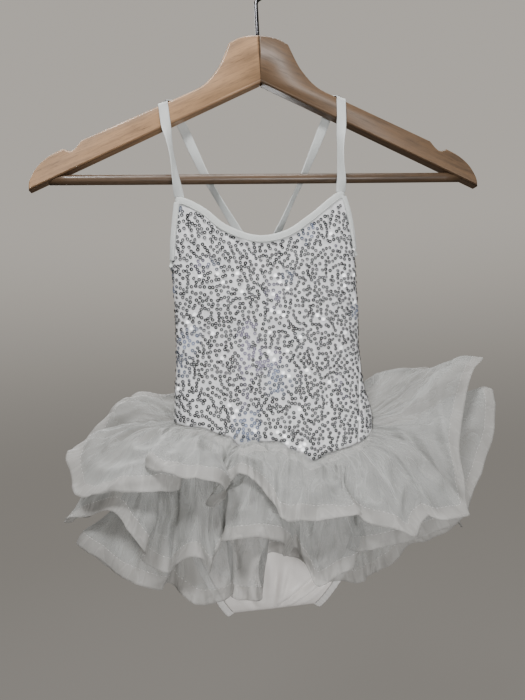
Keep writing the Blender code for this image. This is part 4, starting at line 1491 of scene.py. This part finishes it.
@dataclass
class Straps:
    """Two elastic straps, flat over the hanger's arms and half turned between."""

    width: float = 9.5
    thickness: float = 1.1
    wall: float = 1.0
    clearance: float = 0.4
    arm_edge: float = 1.0
    arm_thickness: float = 12.0
    shoulder: Pair = (78.0, -143.0)
    shoulder_slope: float = 0.4518
    rise: float = 0.5
    steps: int = 12
    routes: tuple[tuple, ...] = (
        (Side.LEFT, -95.3, -86.0, -84.4, 16.0,
         ((-86.4, -9.0, -227.0, 36.0), (-88.8, -10.2, -206.0, 62.0), (-91.5, -9.4, -187.0, 52.0),
          (-93.8, -8.2, -170.0, 4.0)),
         ((-77.5, 7.9, -168.2, 0.0), (-60.1, 8.6, -210.6, 44.0), (-45.0, 10.4, -240.0, 58.0),
          (-28.0, 12.4, -269.8, 42.0), (-7.4, 14.2, -309.3, 8.0))),
        (Side.RIGHT, 80.0, 72.0, 75.4, -29.0,
         ((75.4, -9.0, -225.0, -36.0), (75.2, -10.2, -206.0, -62.0), (76.6, -9.4, -187.0, -52.0),
          (78.9, -8.2, -166.0, -4.0)),
         ((66.4, 7.9, -161.2, 0.0), (42.9, 9.0, -212.2, -44.0), (29.0, 11.6, -240.0, -58.0),
          (15.0, 14.6, -267.6, -42.0), (-7.4, 17.4, -309.3, -8.0))))

    def over_arm(self, front_x: float, back_x: float) -> list[Row]:
        """Lay the strap over the arm.

        Args:
            front_x: where it crosses the arm's front.
            back_x: where it crosses the arm's back.

        Returns:
            Rows of across, depth, height and twist.
        """
        corner = self.arm_edge + self.wall / 2 + self.clearance
        corner_depth = self.arm_thickness / 2 - self.arm_edge
        steepness = math.hypot(1.0, self.shoulder_slope)
        rows = []
        for side in (-1, 1):
            for turn in (0.0, 22.0, 45.0, 68.0, 90.0)[::-side]:
                depth = side * (corner_depth + corner * math.cos(math.radians(turn)))
                rise = (corner * math.sin(math.radians(turn)) - self.arm_edge) * steepness
                share = min(max((depth + corner_depth) / (2 * corner_depth), 0.0), 1.0)
                across = front_x + (back_x - front_x) * share
                top = self.shoulder[1] - (abs(across) - self.shoulder[0]) * self.shoulder_slope
                rows.append((across, depth, top + rise, 0.0))
        return rows

    def seat(self, across: float, panel: Panel) -> Row:
        """Find the strap's end, just above the finished neck edge.

        Args:
            across: the end's place across.
            panel: front or back.

        Returns:
            Across, depth, height and twist.
        """
        edge = max(FORM.neck(panel).read(across + side * self.width / 2)[0] for side in (-1, 0, 1))
        height = edge + self.rise + self.clearance
        left, right, _, _ = FORM.sections.read(height)
        angle = math.degrees(math.acos((across - (left + right) / 2) / ((right - left) / 2)))
        place = FORM.section_point(height, 360.0 - angle if panel is Panel.FRONT else angle, self.wall)
        return (across, place.y, height, 0.0)

    def strap(self, side: Side, front_x: float, back_x: float, front_end: float, back_end: float,
              front_rows: tuple[Row, ...], back_rows: tuple[Row, ...], material: bpy.types.Material) -> bpy.types.Object:
        """Build one strap.

        Args:
            side: left or right.
            front_x: where it crosses the arm's front.
            back_x: where it crosses the arm's back.
            front_end: its end's place across on the front neck.
            back_end: its end's place across on the back neck.
            front_rows: the free stretch in front.
            back_rows: the free stretch behind.
            material: its finish.

        Returns:
            The piece.
        """
        over = self.over_arm(front_x, back_x)
        front = smooth_path([self.seat(front_end, Panel.FRONT), *front_rows, over[0]], self.steps)
        back = smooth_path([over[-1], *back_rows, self.seat(back_end, Panel.BACK)], self.steps)
        path = front[:-1] + over + back[1:]
        slope = Vector((1.0, 0.0, -math.copysign(self.shoulder_slope, front_x))).normalized()
        level, fade = Vector((1.0, 0.0, 0.0)), 2.0 * self.steps
        frames = []
        for index, (x, y, z, twist) in enumerate(path):
            along = Vector(path[min(index + 1, len(path) - 1)][:3]) - Vector(path[max(index - 1, 0)][:3])
            along.normalize()
            if len(front) - 1 <= index < len(front) - 1 + len(over):
                across = (slope - along * slope.dot(along)).normalized()
            else:
                past = len(front) - 1 - index if index < len(front) else index - (len(path) - len(back))
                share = min(past / fade, 1.0)
                square = min(index, len(path) - 1 - index, 4 * self.steps / 3) / (4 * self.steps / 3)
                across = slope.lerp(level, share)
                across = (across - along * across.dot(along) * max(1 - share, square)).normalized()
            turned = across * math.cos(math.radians(twist)) + along.cross(across) * math.sin(math.radians(twist))
            frames.append(BandFrame(Vector((x, y, z)), turned, along.cross(turned).normalized()))
        mesh = sweep_band("elastic_strap_" + side.word, frames, BandSection(self.width, self.thickness, 0.35, 12), False)
        piece = add_piece("elastic_strap_" + side.word, mesh, material)
        return dress_piece(piece, "elastic", "strap_" + side.word)

    def build(self, material: bpy.types.Material) -> list[bpy.types.Object]:
        """Build both straps."""
        return [self.strap(*route, material) for route in self.routes]


# The skirt


@dataclass(frozen=True)
class HemTable:
    """Where a layer's hem hangs: azimuth at the waist seam, then across, depth and height."""

    rows: tuple[Row, ...]

    def place(self, index: int, t: float) -> tuple[float, Vector]:
        """Find a place of the hem on a smooth curve through the rows.

        Args:
            index: the row before the place.
            t: share of the way to the next row.

        Returns:
            The azimuth at the waist seam, and the hem's point.
        """
        near = [self.rows[(index + step) % len(self.rows)] for step in (-1, 0, 1, 2)]
        base = near[1][0]
        a, b, c, d = ((base + (row[0] - base + 180.0) % 360.0 - 180.0, *row[1:]) for row in near)
        spot = [0.5 * (2 * q + (r - p) * t + (2 * p - 5 * q + 4 * r - w) * t**2 + (3 * q - 3 * r + w - p) * t**3)
                for p, q, r, w in zip(a, b, c, d)]
        return spot[0], Vector(spot[1:])


TOP_HEM = HemTable((
    (1, 207, -6, -422), (8, 231, 18, -415), (17, 222, 40, -414), (28, 192, 52, -424), (40, 146, 55, -421),
    (58, 96, 62, -446), (70, 52, 60, -429), (85, 10, 55, -418), (100, -28, 61, -430), (115, -62, 55, -419),
    (130, -108, 57, -432),
    (148, -157, 48, -437), (162, -184, 36, -470), (176, -198, 9, -486), (184, -192, -8, -509), (189, -177, -42, -513),
    (195, -146, -72, -504), (201, -119, -86, -501), (206, -97, -80, -501), (210, -102, -64, -499),
    (214, -120, -60, -490), (218, -123, -80, -479), (223, -108, -96, -484), (229, -87, -102, -488),
    (235, -68, -100, -494), (239, -63, -92, -505), (242, -70, -84, -516), (245, -77, -72, -513),
    (249, -62, -62, -507), (254, -45, -66, -495), (259, -34, -80, -498), (264, -24, -94, -510),
    (270, -15, -104, -524), (276, -2, -106, -527), (283, 20, -104, -526), (290, 44, -96, -534),
    (295, 47, -80, -528), (300, 46, -70, -524), (305, 55, -84, -538), (311, 72, -92, -544), (318, 94, -90, -557),
    (323, 111, -70, -552), (328, 126, -58, -550), (334, 141, -62, -554), (341, 168, -48, -555),
    (346, 169, -46, -525), (350, 170, -38, -492), (355, 186, -24, -458)))
MIDDLE_HEM = HemTable((
    (4, 238, 18, -450), (12, 236, 34, -470), (19, 226, 44, -500), (27, 195, 52, -511), (40, 150, 56, -511),
    (58, 74, 49, -558),
    (70, 55, 58, -536), (85, 11, 54, -563), (100, -24, 46, -567), (115, -73, 58, -544), (130, -104, 52, -550),
    (148, -169, 52, -515), (162, -182, 36, -544), (176, -203, 10, -549), (186, -188, -20, -536),
    (193, -153, -62, -519), (199, -139, -76, -531), (205, -127, -84, -547), (211, -126, -78, -557),
    (217, -109, -70, -572), (223, -97, -76, -564), (228, -85, -84, -556), (233, -78, -80, -571),
    (238, -70, -68, -559), (243, -62, -60, -544), (248, -60, -76, -548), (254, -47, -88, -544),
    (260, -32, -94, -543), (266, -14, -90, -550), (271, -7, -80, -564), (275, 0, -68, -562), (280, 7, -74, -576),
    (285, 15, -80, -592), (292, 34, -82, -584), (299, 52, -76, -581), (305, 52, -62, -570), (311, 58, -72, -570),
    (318, 82, -76, -566), (325, 106, -66, -567), (332, 129, -54, -568), (340, 158, -40, -566),
    (346, 183, -26, -555), (352, 212, -8, -522), (358, 231, 6, -482)))
BOTTOM_HEM = HemTable((
    (5, 190, 11, -593), (15, 193, 34, -574), (27, 148, 41, -575), (40, 117, 46, -564), (58, 50, 21, -584),
    (70, 45, 49, -574), (85, 9, 45, -594), (100, -20, 27, -595), (115, -61, 49, -588), (130, -80, 36, -590),
    (148, -143, 44, -574), (162, -143, 25, -592), (176, -170, 7, -592), (184, -191, -4, -564),
    (190, -174, -26, -568), (196, -150, -42, -581), (202, -130, -50, -588), (208, -117, -52, -593),
    (213, -113, -40, -590), (218, -106, -44, -591), (224, -95, -56, -597), (230, -82, -62, -604),
    (236, -68, -58, -605), (241, -56, -46, -602), (247, -53, -56, -607), (253, -41, -62, -606),
    (258, -30, -52, -610), (262, -25, -40, -595), (267, -17, -36, -580), (274, 0, -38, -581), (281, 15, -44, -589),
    (288, 25, -52, -600), (295, 44, -54, -601), (302, 58, -52, -606), (309, 74, -46, -603), (317, 87, -44, -598),
    (325, 114, -38, -582), (334, 137, -30, -583), (344, 169, -14, -576), (354, 190, 2, -576)))


@dataclass(frozen=True)
class Layer:
    """One layer of the skirt: its node, hem, cloth length, pitch at the seam, and cut."""

    node: str
    hem: HemTable
    length: float
    spring: float
    flat: Row


@dataclass
class Skirt:
    """Three gathered layers of organza, with turned hems and stitches."""

    layers: tuple[Layer, ...] = (
        Layer("skirt_top", TOP_HEM, 92.0, 4.0, (1.46, 0.100, 0.079)),
        Layer("skirt_middle", MIDDLE_HEM, 100.0, 24.0, (1.47, 0.110, 0.096)),
        Layer("skirt_bottom", BOTTOM_HEM, 112.0, 46.0, (1.20, 0.125, 0.093)))
    seam_step: float = 8.5
    drop: float = 0.3
    standoff: float = 0.9
    droop: float = 0.45
    door: float = 45.0
    door_room: float = 17.0
    hem_width: float = 12.0
    wall: float = 0.22
    points_per_row: int = 16
    body_rows: int = 30
    hem_rows: int = 6
    gathers: int = 104

    def plain_point(self, layer: Layer, azimuth: float, hem: Vector, height: float, share: float) -> Vector:
        """Find a point of a layer in its plain shape.

        Args:
            layer: the layer.
            azimuth: degrees round the waist seam.
            hem: the hem's point there.
            height: height of the layer's top there.
            share: share of the layer's length from the waist.

        Returns:
            The point.
        """
        start = FORM.section_point(height, azimuth, self.standoff)
        chord = hem - start
        reach = max(chord.length, layer.length)
        lean, turn = math.radians(layer.spring), math.radians(azimuth)
        spring = Vector((math.cos(turn) * math.cos(lean), math.sin(turn) * math.cos(lean), -math.sin(lean)))
        fall = (chord.normalized() - Vector((0.0, 0.0, self.droop))).normalized()
        near, far = start + spring * (0.36 * reach), hem - fall * (0.33 * reach)
        rest = 1.0 - share
        point = start * rest**3 + near * (3 * share * rest**2) + far * (3 * rest * share**2) + hem * share**3
        if point.y > self.door:
            point.y = self.door + self.door_room * (1 - math.exp((self.door - point.y) / self.door_room))
        return point

    def relief(self, order: int, azimuth: float, share: float) -> float:
        """Find how far the organza stands off its plain shape.

        Args:
            order: 0 for the top layer.
            azimuth: degrees round the waist seam.
            share: share of the length from the waist.

        Returns:
            The distance out.
        """
        turn = math.radians(azimuth)
        x, y = math.cos(turn), math.sin(turn)
        phase = 3.0 * noise.noise(Vector((x * 5.0, y * 5.0, order * 7.0)))
        gather = 0.9 * math.sin(self.gathers * turn + phase) * math.exp(-share / 0.2) * min(share / 0.03, 1.0)
        pleat = 1.0 - 2.2 * abs(noise.noise(Vector((x * 13.0, y * 13.0, share * 0.8 + order * 5.0))))
        crumple = noise.noise(Vector((x * 3.6, y * 3.6, share * 2.2 + 20.0)))
        own = noise.noise(Vector((x * 6.5, y * 6.5, share * 3.6 + 40.0 + order * 9.0)))
        crease = 1.0 - 2.5 * abs(noise.noise(Vector((x * 5.0 + share * 2.0, y * 5.0, share * 2.6 + 80.0 + order * 4.0))))
        flip = noise.noise(Vector((x * 7.5, y * 7.5, 60.0 + order * 3.0))) * max((share - 0.78) / 0.22, 0.0) ** 1.5
        dent = noise.noise(Vector((x * 11.0, y * 11.0, share * 7.0 + 110.0 + order * 6.0)))
        swell = min(share / 0.25, 1.0)
        sharp = swell * (2.4 * pleat + 3.6 * crease + 2.6 * dent)
        return gather + sharp + share * (4.5 * crumple + 6.5 * own) + 6.0 * flip

    def layer_grid(self, order: int) -> tuple[Grid, list[list[float]]]:
        """Lay out one layer.

        Args:
            order: 0 for the top layer.

        Returns:
            Rows of points from the hem up, and the distance of each from the hem.
        """
        layer = self.layers[order]
        places = []
        for index in range(len(layer.hem.rows)):
            for step in range(self.points_per_row):
                azimuth, hem = layer.hem.place(index, step / self.points_per_row)
                height = FORM.waist_seam.read(azimuth)[0] - self.drop - self.seam_step * order
                length = max((hem - FORM.section_point(height, azimuth, self.standoff)).length, layer.length)
                places.append((azimuth, hem, height, length))
        plain, from_hem = [], []
        for row in range(self.body_rows + self.hem_rows + 1):
            line, gaps = [], []
            for azimuth, hem, height, length in places:
                band = self.hem_width / length
                if row <= self.hem_rows:
                    share = 1.0 - band * row / self.hem_rows
                else:
                    share = (1.0 - band) * (1.0 - (row - self.hem_rows) / self.body_rows)
                line.append(self.plain_point(layer, azimuth, hem, height, share))
                gaps.append((1.0 - share) * length)
            plain.append(line)
            from_hem.append(gaps)
        normals = grid_normals(plain, True)
        for line, line_normals, gaps in zip(plain, normals, from_hem):
            for c, point in enumerate(line):
                line[c] = point + line_normals[c] * self.relief(order, places[c][0], 1.0 - gaps[c] / places[c][3])
        return plain, from_hem

    def build(self, notions: Notions, materials: dict[str, bpy.types.Material]) -> list[bpy.types.Object]:
        """Build the three layers and the stitches of their hems.

        Args:
            notions: shape of the stitch.
            materials: built finishes by name.

        Returns:
            The pieces.
        """
        pieces, sewn = [], []
        for order, layer in enumerate(self.layers):
            grid, from_hem = self.layer_grid(order)
            hem = grid[0]
            run = [0.0]
            for c in range(len(hem)):
                run.append(run[-1] + (hem[(c + 1) % len(hem)] - hem[c]).length)
            mesh = grid_mesh("organza_" + layer.node, grid, True, lambda r, c: (run[c], from_hem[r][c % len(hem)]))
            piece = add_wall(add_piece("organza_" + layer.node, mesh, materials["organza"]), self.wall)
            dress_piece(piece, "organza", layer.node)
            LOG.info("%s: hem %.0f mm", piece.name, run[-1])
            normals = grid_normals(grid, True)[self.hem_rows]
            line = [(point + out * (self.wall / 2), out) for point, out in zip(grid[self.hem_rows], normals)]
            sewn.append(line + line[:1])
            pieces.append(piece)
        stitch = notions.stitch()
        mesh = STITCHES.lay("hem_stitches", path_mesh("stitch_lines", sewn), stitch, materials["thread"], 4.0, 0.6,
                            0.06, 5.0, 31)
        pieces.append(dress_piece(add_piece("hem_stitches", mesh, materials["thread"]), "organza"))
        bpy.data.objects.remove(stitch)
        return pieces


# The brief


@dataclass
class Brief:
    """Front and back of the brief with gathered elastic round each leg."""

    leg_line: SmoothTable = table(
        (-645.0, -52.0, 27.0), (-632.0, -60.0, 37.0), (-600.0, -76.0, 62.0), (-575.0, -86.0, 77.0),
        (-556.0, -91.0, 84.0))
    leg_top: float = -556.0
    crotch: float = -645.0
    crotch_curve: float = 22.0
    crotch_inset: float = 0.5
    drop: float = 2.2
    wall: float = 0.8
    elastic_width: float = 6.4
    elastic_wall: float = 1.7
    elastic_offset: float = 1.0
    columns: int = 96
    rows: int = 70
    wrinkles: tuple[Row, ...] = (
        (42.0, -604.0, -10.0, -643.0, 2.6, 2.2), (46.0, -614.0, 8.0, -641.0, 1.8, 1.8),
        (-8.0, -590.0, -14.0, -640.0, 2.0, 3.0), (6.0, -596.0, -6.0, -638.0, 1.4, 2.6),
        (-54.0, -606.0, -30.0, -640.0, 1.8, 2.6), (-40.0, -560.0, -20.0, -630.0, 1.4, 5.0))

    def point(self, height: float, fraction: float, panel: Panel) -> Vector:
        """Find a point of the brief.

        Args:
            height: height of the point.
            fraction: place across the panel.
            panel: front or back.

        Returns:
            The point.
        """
        left, right, _, _ = FORM.sections.read(height)
        middle, half = (left + right) / 2, (right - left) / 2
        left_angle, right_angle = 180.0, 0.0
        if height < self.leg_top:
            leg_left, leg_right = self.leg_line.read(height)
            left_angle = math.degrees(math.acos(max((leg_left - middle) / half, -1.0)))
            right_angle = math.degrees(math.acos(min((leg_right - middle) / half, 1.0)))
        if panel is Panel.FRONT:
            start, end = 360.0 - left_angle, 360.0 - right_angle
        else:
            start, end = right_angle, left_angle
        spot = FORM.section_point(height, FORM.angle_at(height, start, end, fraction=fraction))
        rise = min(max((height - self.crotch) / self.crotch_curve, 0.0), 1.0)
        depth = spot.y * math.sqrt(max(1.0 - (1.0 - rise) ** 2, 0.0))
        spot.y = min(depth, -self.crotch_inset) if panel is Panel.FRONT else max(depth, self.crotch_inset)
        return spot

    def top(self, fraction: float, panel: Panel) -> float:
        """Find the height of the brief's top edge.

        Args:
            fraction: place across the panel.
            panel: front or back.

        Returns:
            The height.
        """
        height = -475.0
        for _ in range(6):
            spot = self.point(height, fraction, panel)
            left, right, _, _ = FORM.sections.read(height)
            cosine = (spot.x - (left + right) / 2) / ((right - left) / 2)
            angle = math.degrees(math.acos(min(max(cosine, -1.0), 1.0)))
            height = FORM.waist_seam.read(360.0 - angle if spot.y < 0 else angle)[0] - self.drop
        return height

    def panel(self, panel: Panel, material: bpy.types.Material) -> bpy.types.Object:
        """Build the front or the back of the brief."""
        tops = [self.top(c / self.columns, panel) for c in range(self.columns + 1)]
        grid: Grid = []
        for r in range(self.rows + 1):
            line = []
            for c, top in enumerate(tops):
                height = self.crotch + (top - self.crotch) * (r / self.rows) ** 1.3
                line.append(self.point(height, c / self.columns, panel))
            grid.append(line)
        normals = grid_normals(grid, False)
        for r, row in enumerate(grid):
            for c, spot in enumerate(row):
                inside = min(c, self.columns - c, r * 2, 12) / 12
                wave = 1.6 * noise.noise(spot * 0.045) + 0.5 * noise.noise(spot * 0.14) + pulled(spot, self.wrinkles)
                ruffle = 0.45 * math.sin(r * 1.9) * math.exp(-min(c, self.columns - c) / 5.0) * min(r / 6, 1.0)
                row[c] = spot + normals[r][c] * (wave * inside + ruffle * inside)
        mesh = grid_mesh("satin_" + panel.value, grid, False,
                         lambda r, c: (grid[r][min(c, self.columns)].x, grid[r][min(c, self.columns)].z))
        piece = add_wall(add_piece("satin_" + panel.value, mesh, material), self.wall)
        dress_piece(piece, "brief_satin", "brief_" + panel.value)
        return piece

    def elastic(self, side: Side, material: bpy.types.Material) -> bpy.types.Object:
        """Build the gathered elastic round one leg."""
        steps = 60
        column = 0 if side is Side.LEFT else 1
        line = []
        for step in range(steps + 1):
            height = self.leg_top + (self.crotch - self.leg_top) * math.sin(math.pi / 2 * step / steps) ** 1.2
            line.append(Vector((self.leg_line.read(height)[column], height)))
        frames = []
        for panel, order in ((Panel.FRONT, range(steps + 1)), (Panel.BACK, range(steps - 1, 0, -1))):
            for step in order:
                before, after = line[max(step - 1, 0)], line[min(step + 1, steps)]
                along = (after - before).normalized()
                away = Vector((-along.y, along.x)) * side.value
                if step == 0:
                    away = Vector((side.value * 0.3, -1.0)).normalized()
                near_edge = 0.0 if (panel is Panel.FRONT) == (side is Side.LEFT) else 1.0
                edge = self.point(max(line[step].y, self.crotch), near_edge, panel)
                tuck = max(step - steps + 8, 0) / 8
                middle = line[step] + away * (self.elastic_offset + self.elastic_width / 2 - 0.8 - 3.0 * tuck**2)
                ruffle = 0.55 * math.sin(step * 2.3) * (1.0 if panel is Panel.FRONT else -1.0)
                centre = Vector((middle.x, edge.y + ruffle * min(step / 4, (steps - step) / 4, 1.0), middle.y))
                across = Vector((away.x, 0.0, away.y))
                frames.append(BandFrame(centre, across, Vector((0.0, 1.0, 0.0))))
        mesh = sweep_band("leg_band_" + side.word, frames, BandSection(self.elastic_width, self.elastic_wall, 0.5, 12), True)
        return dress_piece(add_piece("leg_band_" + side.word, mesh, material), "elastic", "leg_elastic_" + side.word)

    def build(self, materials: dict[str, bpy.types.Material]) -> list[bpy.types.Object]:
        """Build the brief and its elastics."""
        return [*(self.panel(panel, materials["satin"]) for panel in Panel),
                *(self.elastic(side, materials["leg_elastic"]) for side in Side)]


# The studio


@dataclass
class Studio:
    """Camera, plain pale backdrop and soft lights."""

    camera_place: Row = (-80.5, -514.8, -388.9)
    camera_turns: Row = (-7.7, -0.17, 2.9)
    focal_px: float = 526.0
    picture: tuple[int, int] = (525, 700)
    sensor: float = 36.0
    floor_m: float = -1.05
    bowl_m: float = 2.6
    lights: tuple[tuple[str, Row, float, float], ...] = (
        ("key", (-0.50, -0.95, 0.90), 0.35, 11.0),
        ("top", (0.15, -0.10, 1.05), 0.6, 6.5),
        ("fill", (0.30, -1.30, -0.62), 0.5, 5.0),
        ("rear", (-0.50, 1.20, 0.35), 0.9, 6.5),
    )
    spread: float = 120.0

    def camera(self) -> None:
        """Place the camera where the photograph was taken from."""
        yaw, pitch, roll = (math.radians(turn) for turn in self.camera_turns)
        turned = Matrix.Rotation(yaw, 3, "Z") @ Matrix.Rotation(pitch, 3, "X") @ Matrix.Rotation(roll, 3, "Y")
        across, up, back = turned.col[0], turned.col[2], -turned.col[1]
        data = bpy.data.cameras.new("camera")
        data.sensor_fit = "VERTICAL"
        data.sensor_height = data.sensor_width = self.sensor
        data.lens = self.sensor * self.focal_px / self.picture[1]
        data.clip_start = 0.01
        camera = bpy.data.objects.new("camera", data)
        bpy.context.scene.collection.objects.link(camera)
        place = Vector(self.camera_place) * MM
        camera.matrix_world = Matrix([(across[i], up[i], back[i], place[i]) for i in range(3)] + [(0, 0, 0, 1)])
        bpy.context.scene.camera = camera

    def backdrop(self) -> None:
        """Build a wide bowl that is floor and backdrop from every side."""
        profile = [(0.0, 0.0), (1.2, 0.0), (1.7, 0.06), (2.1, 0.28), (2.4, 0.75), (2.55, 1.4), (self.bowl_m, 2.2),
                   (2.3, 3.0), (1.5, 3.6), (0.0, 3.8)]
        spots = smooth_path(profile, 4)
        sides = 64
        shell = bmesh.new()
        rings = []
        for radius, height in spots[1:-1]:
            rings.append([shell.verts.new((radius * math.cos(2 * math.pi * k / sides),
                                           radius * math.sin(2 * math.pi * k / sides), self.floor_m + height))
                          for k in range(sides)])
        foot = shell.verts.new((0.0, 0.0, self.floor_m))
        crown = shell.verts.new((0.0, 0.0, self.floor_m + profile[-1][1]))
        for k in range(sides):
            j = (k + 1) % sides
            shell.faces.new((foot, rings[0][j], rings[0][k]))
            shell.faces.new((crown, rings[-1][k], rings[-1][j]))
            for low, high in zip(rings, rings[1:]):
                shell.faces.new((low[k], low[j], high[j], high[k]))
        bmesh.ops.recalc_face_normals(shell, faces=shell.faces)
        bmesh.ops.reverse_faces(shell, faces=shell.faces)
        mesh = bpy.data.meshes.new("studio_bowl")
        shell.to_mesh(mesh)
        shell.free()
        mesh.shade_smooth()
        add_piece("studio_bowl", mesh, STUDIO.build())

    def light(self) -> None:
        """Hang the soft lights."""
        target = Vector((0.0, 0.0, -0.40))
        for name, place, size, power in self.lights:
            data = bpy.data.lights.new(name, "AREA")
            data.energy, data.size, data.spread = power, size, math.radians(self.spread)
            lamp = bpy.data.objects.new(name, data)
            lamp.location = place
            lamp.rotation_euler = (target - lamp.location).to_track_quat("-Z", "Y").to_euler()
            lamp.visible_camera = False
            bpy.context.scene.collection.objects.link(lamp)
        bpy.context.scene.cycles.transparent_max_bounces = 40

    def build(self) -> None:
        """Set up the whole studio."""
        self.camera()
        self.backdrop()
        self.light()


def main() -> None:
    """Build each sub-assembly in order and report its pieces."""
    logging.basicConfig(level=logging.INFO, format="%(message)s")
    materials = {"jersey": JERSEY.build(), "sequins": SEQUINS.build(), "binding": BINDING.build(),
                 "thread": THREAD.build(), "organza": ORGANZA.build(), "satin": SATIN.build(),
                 "leg_elastic": LEG_ELASTIC.build()}
    notions = Notions()
    Studio().build()
    pieces = Hanger().build()
    pieces += Straps().build(STRAP_ELASTIC.build())
    pieces += Bodice().build(notions, materials)
    pieces += Skirt().build(notions, materials)
    pieces += Brief().build(materials)
    for piece in pieces:
        LOG.info("%s: %d faces", piece.name, len(piece.data.polygons))


if __name__ == "__main__":
    main()
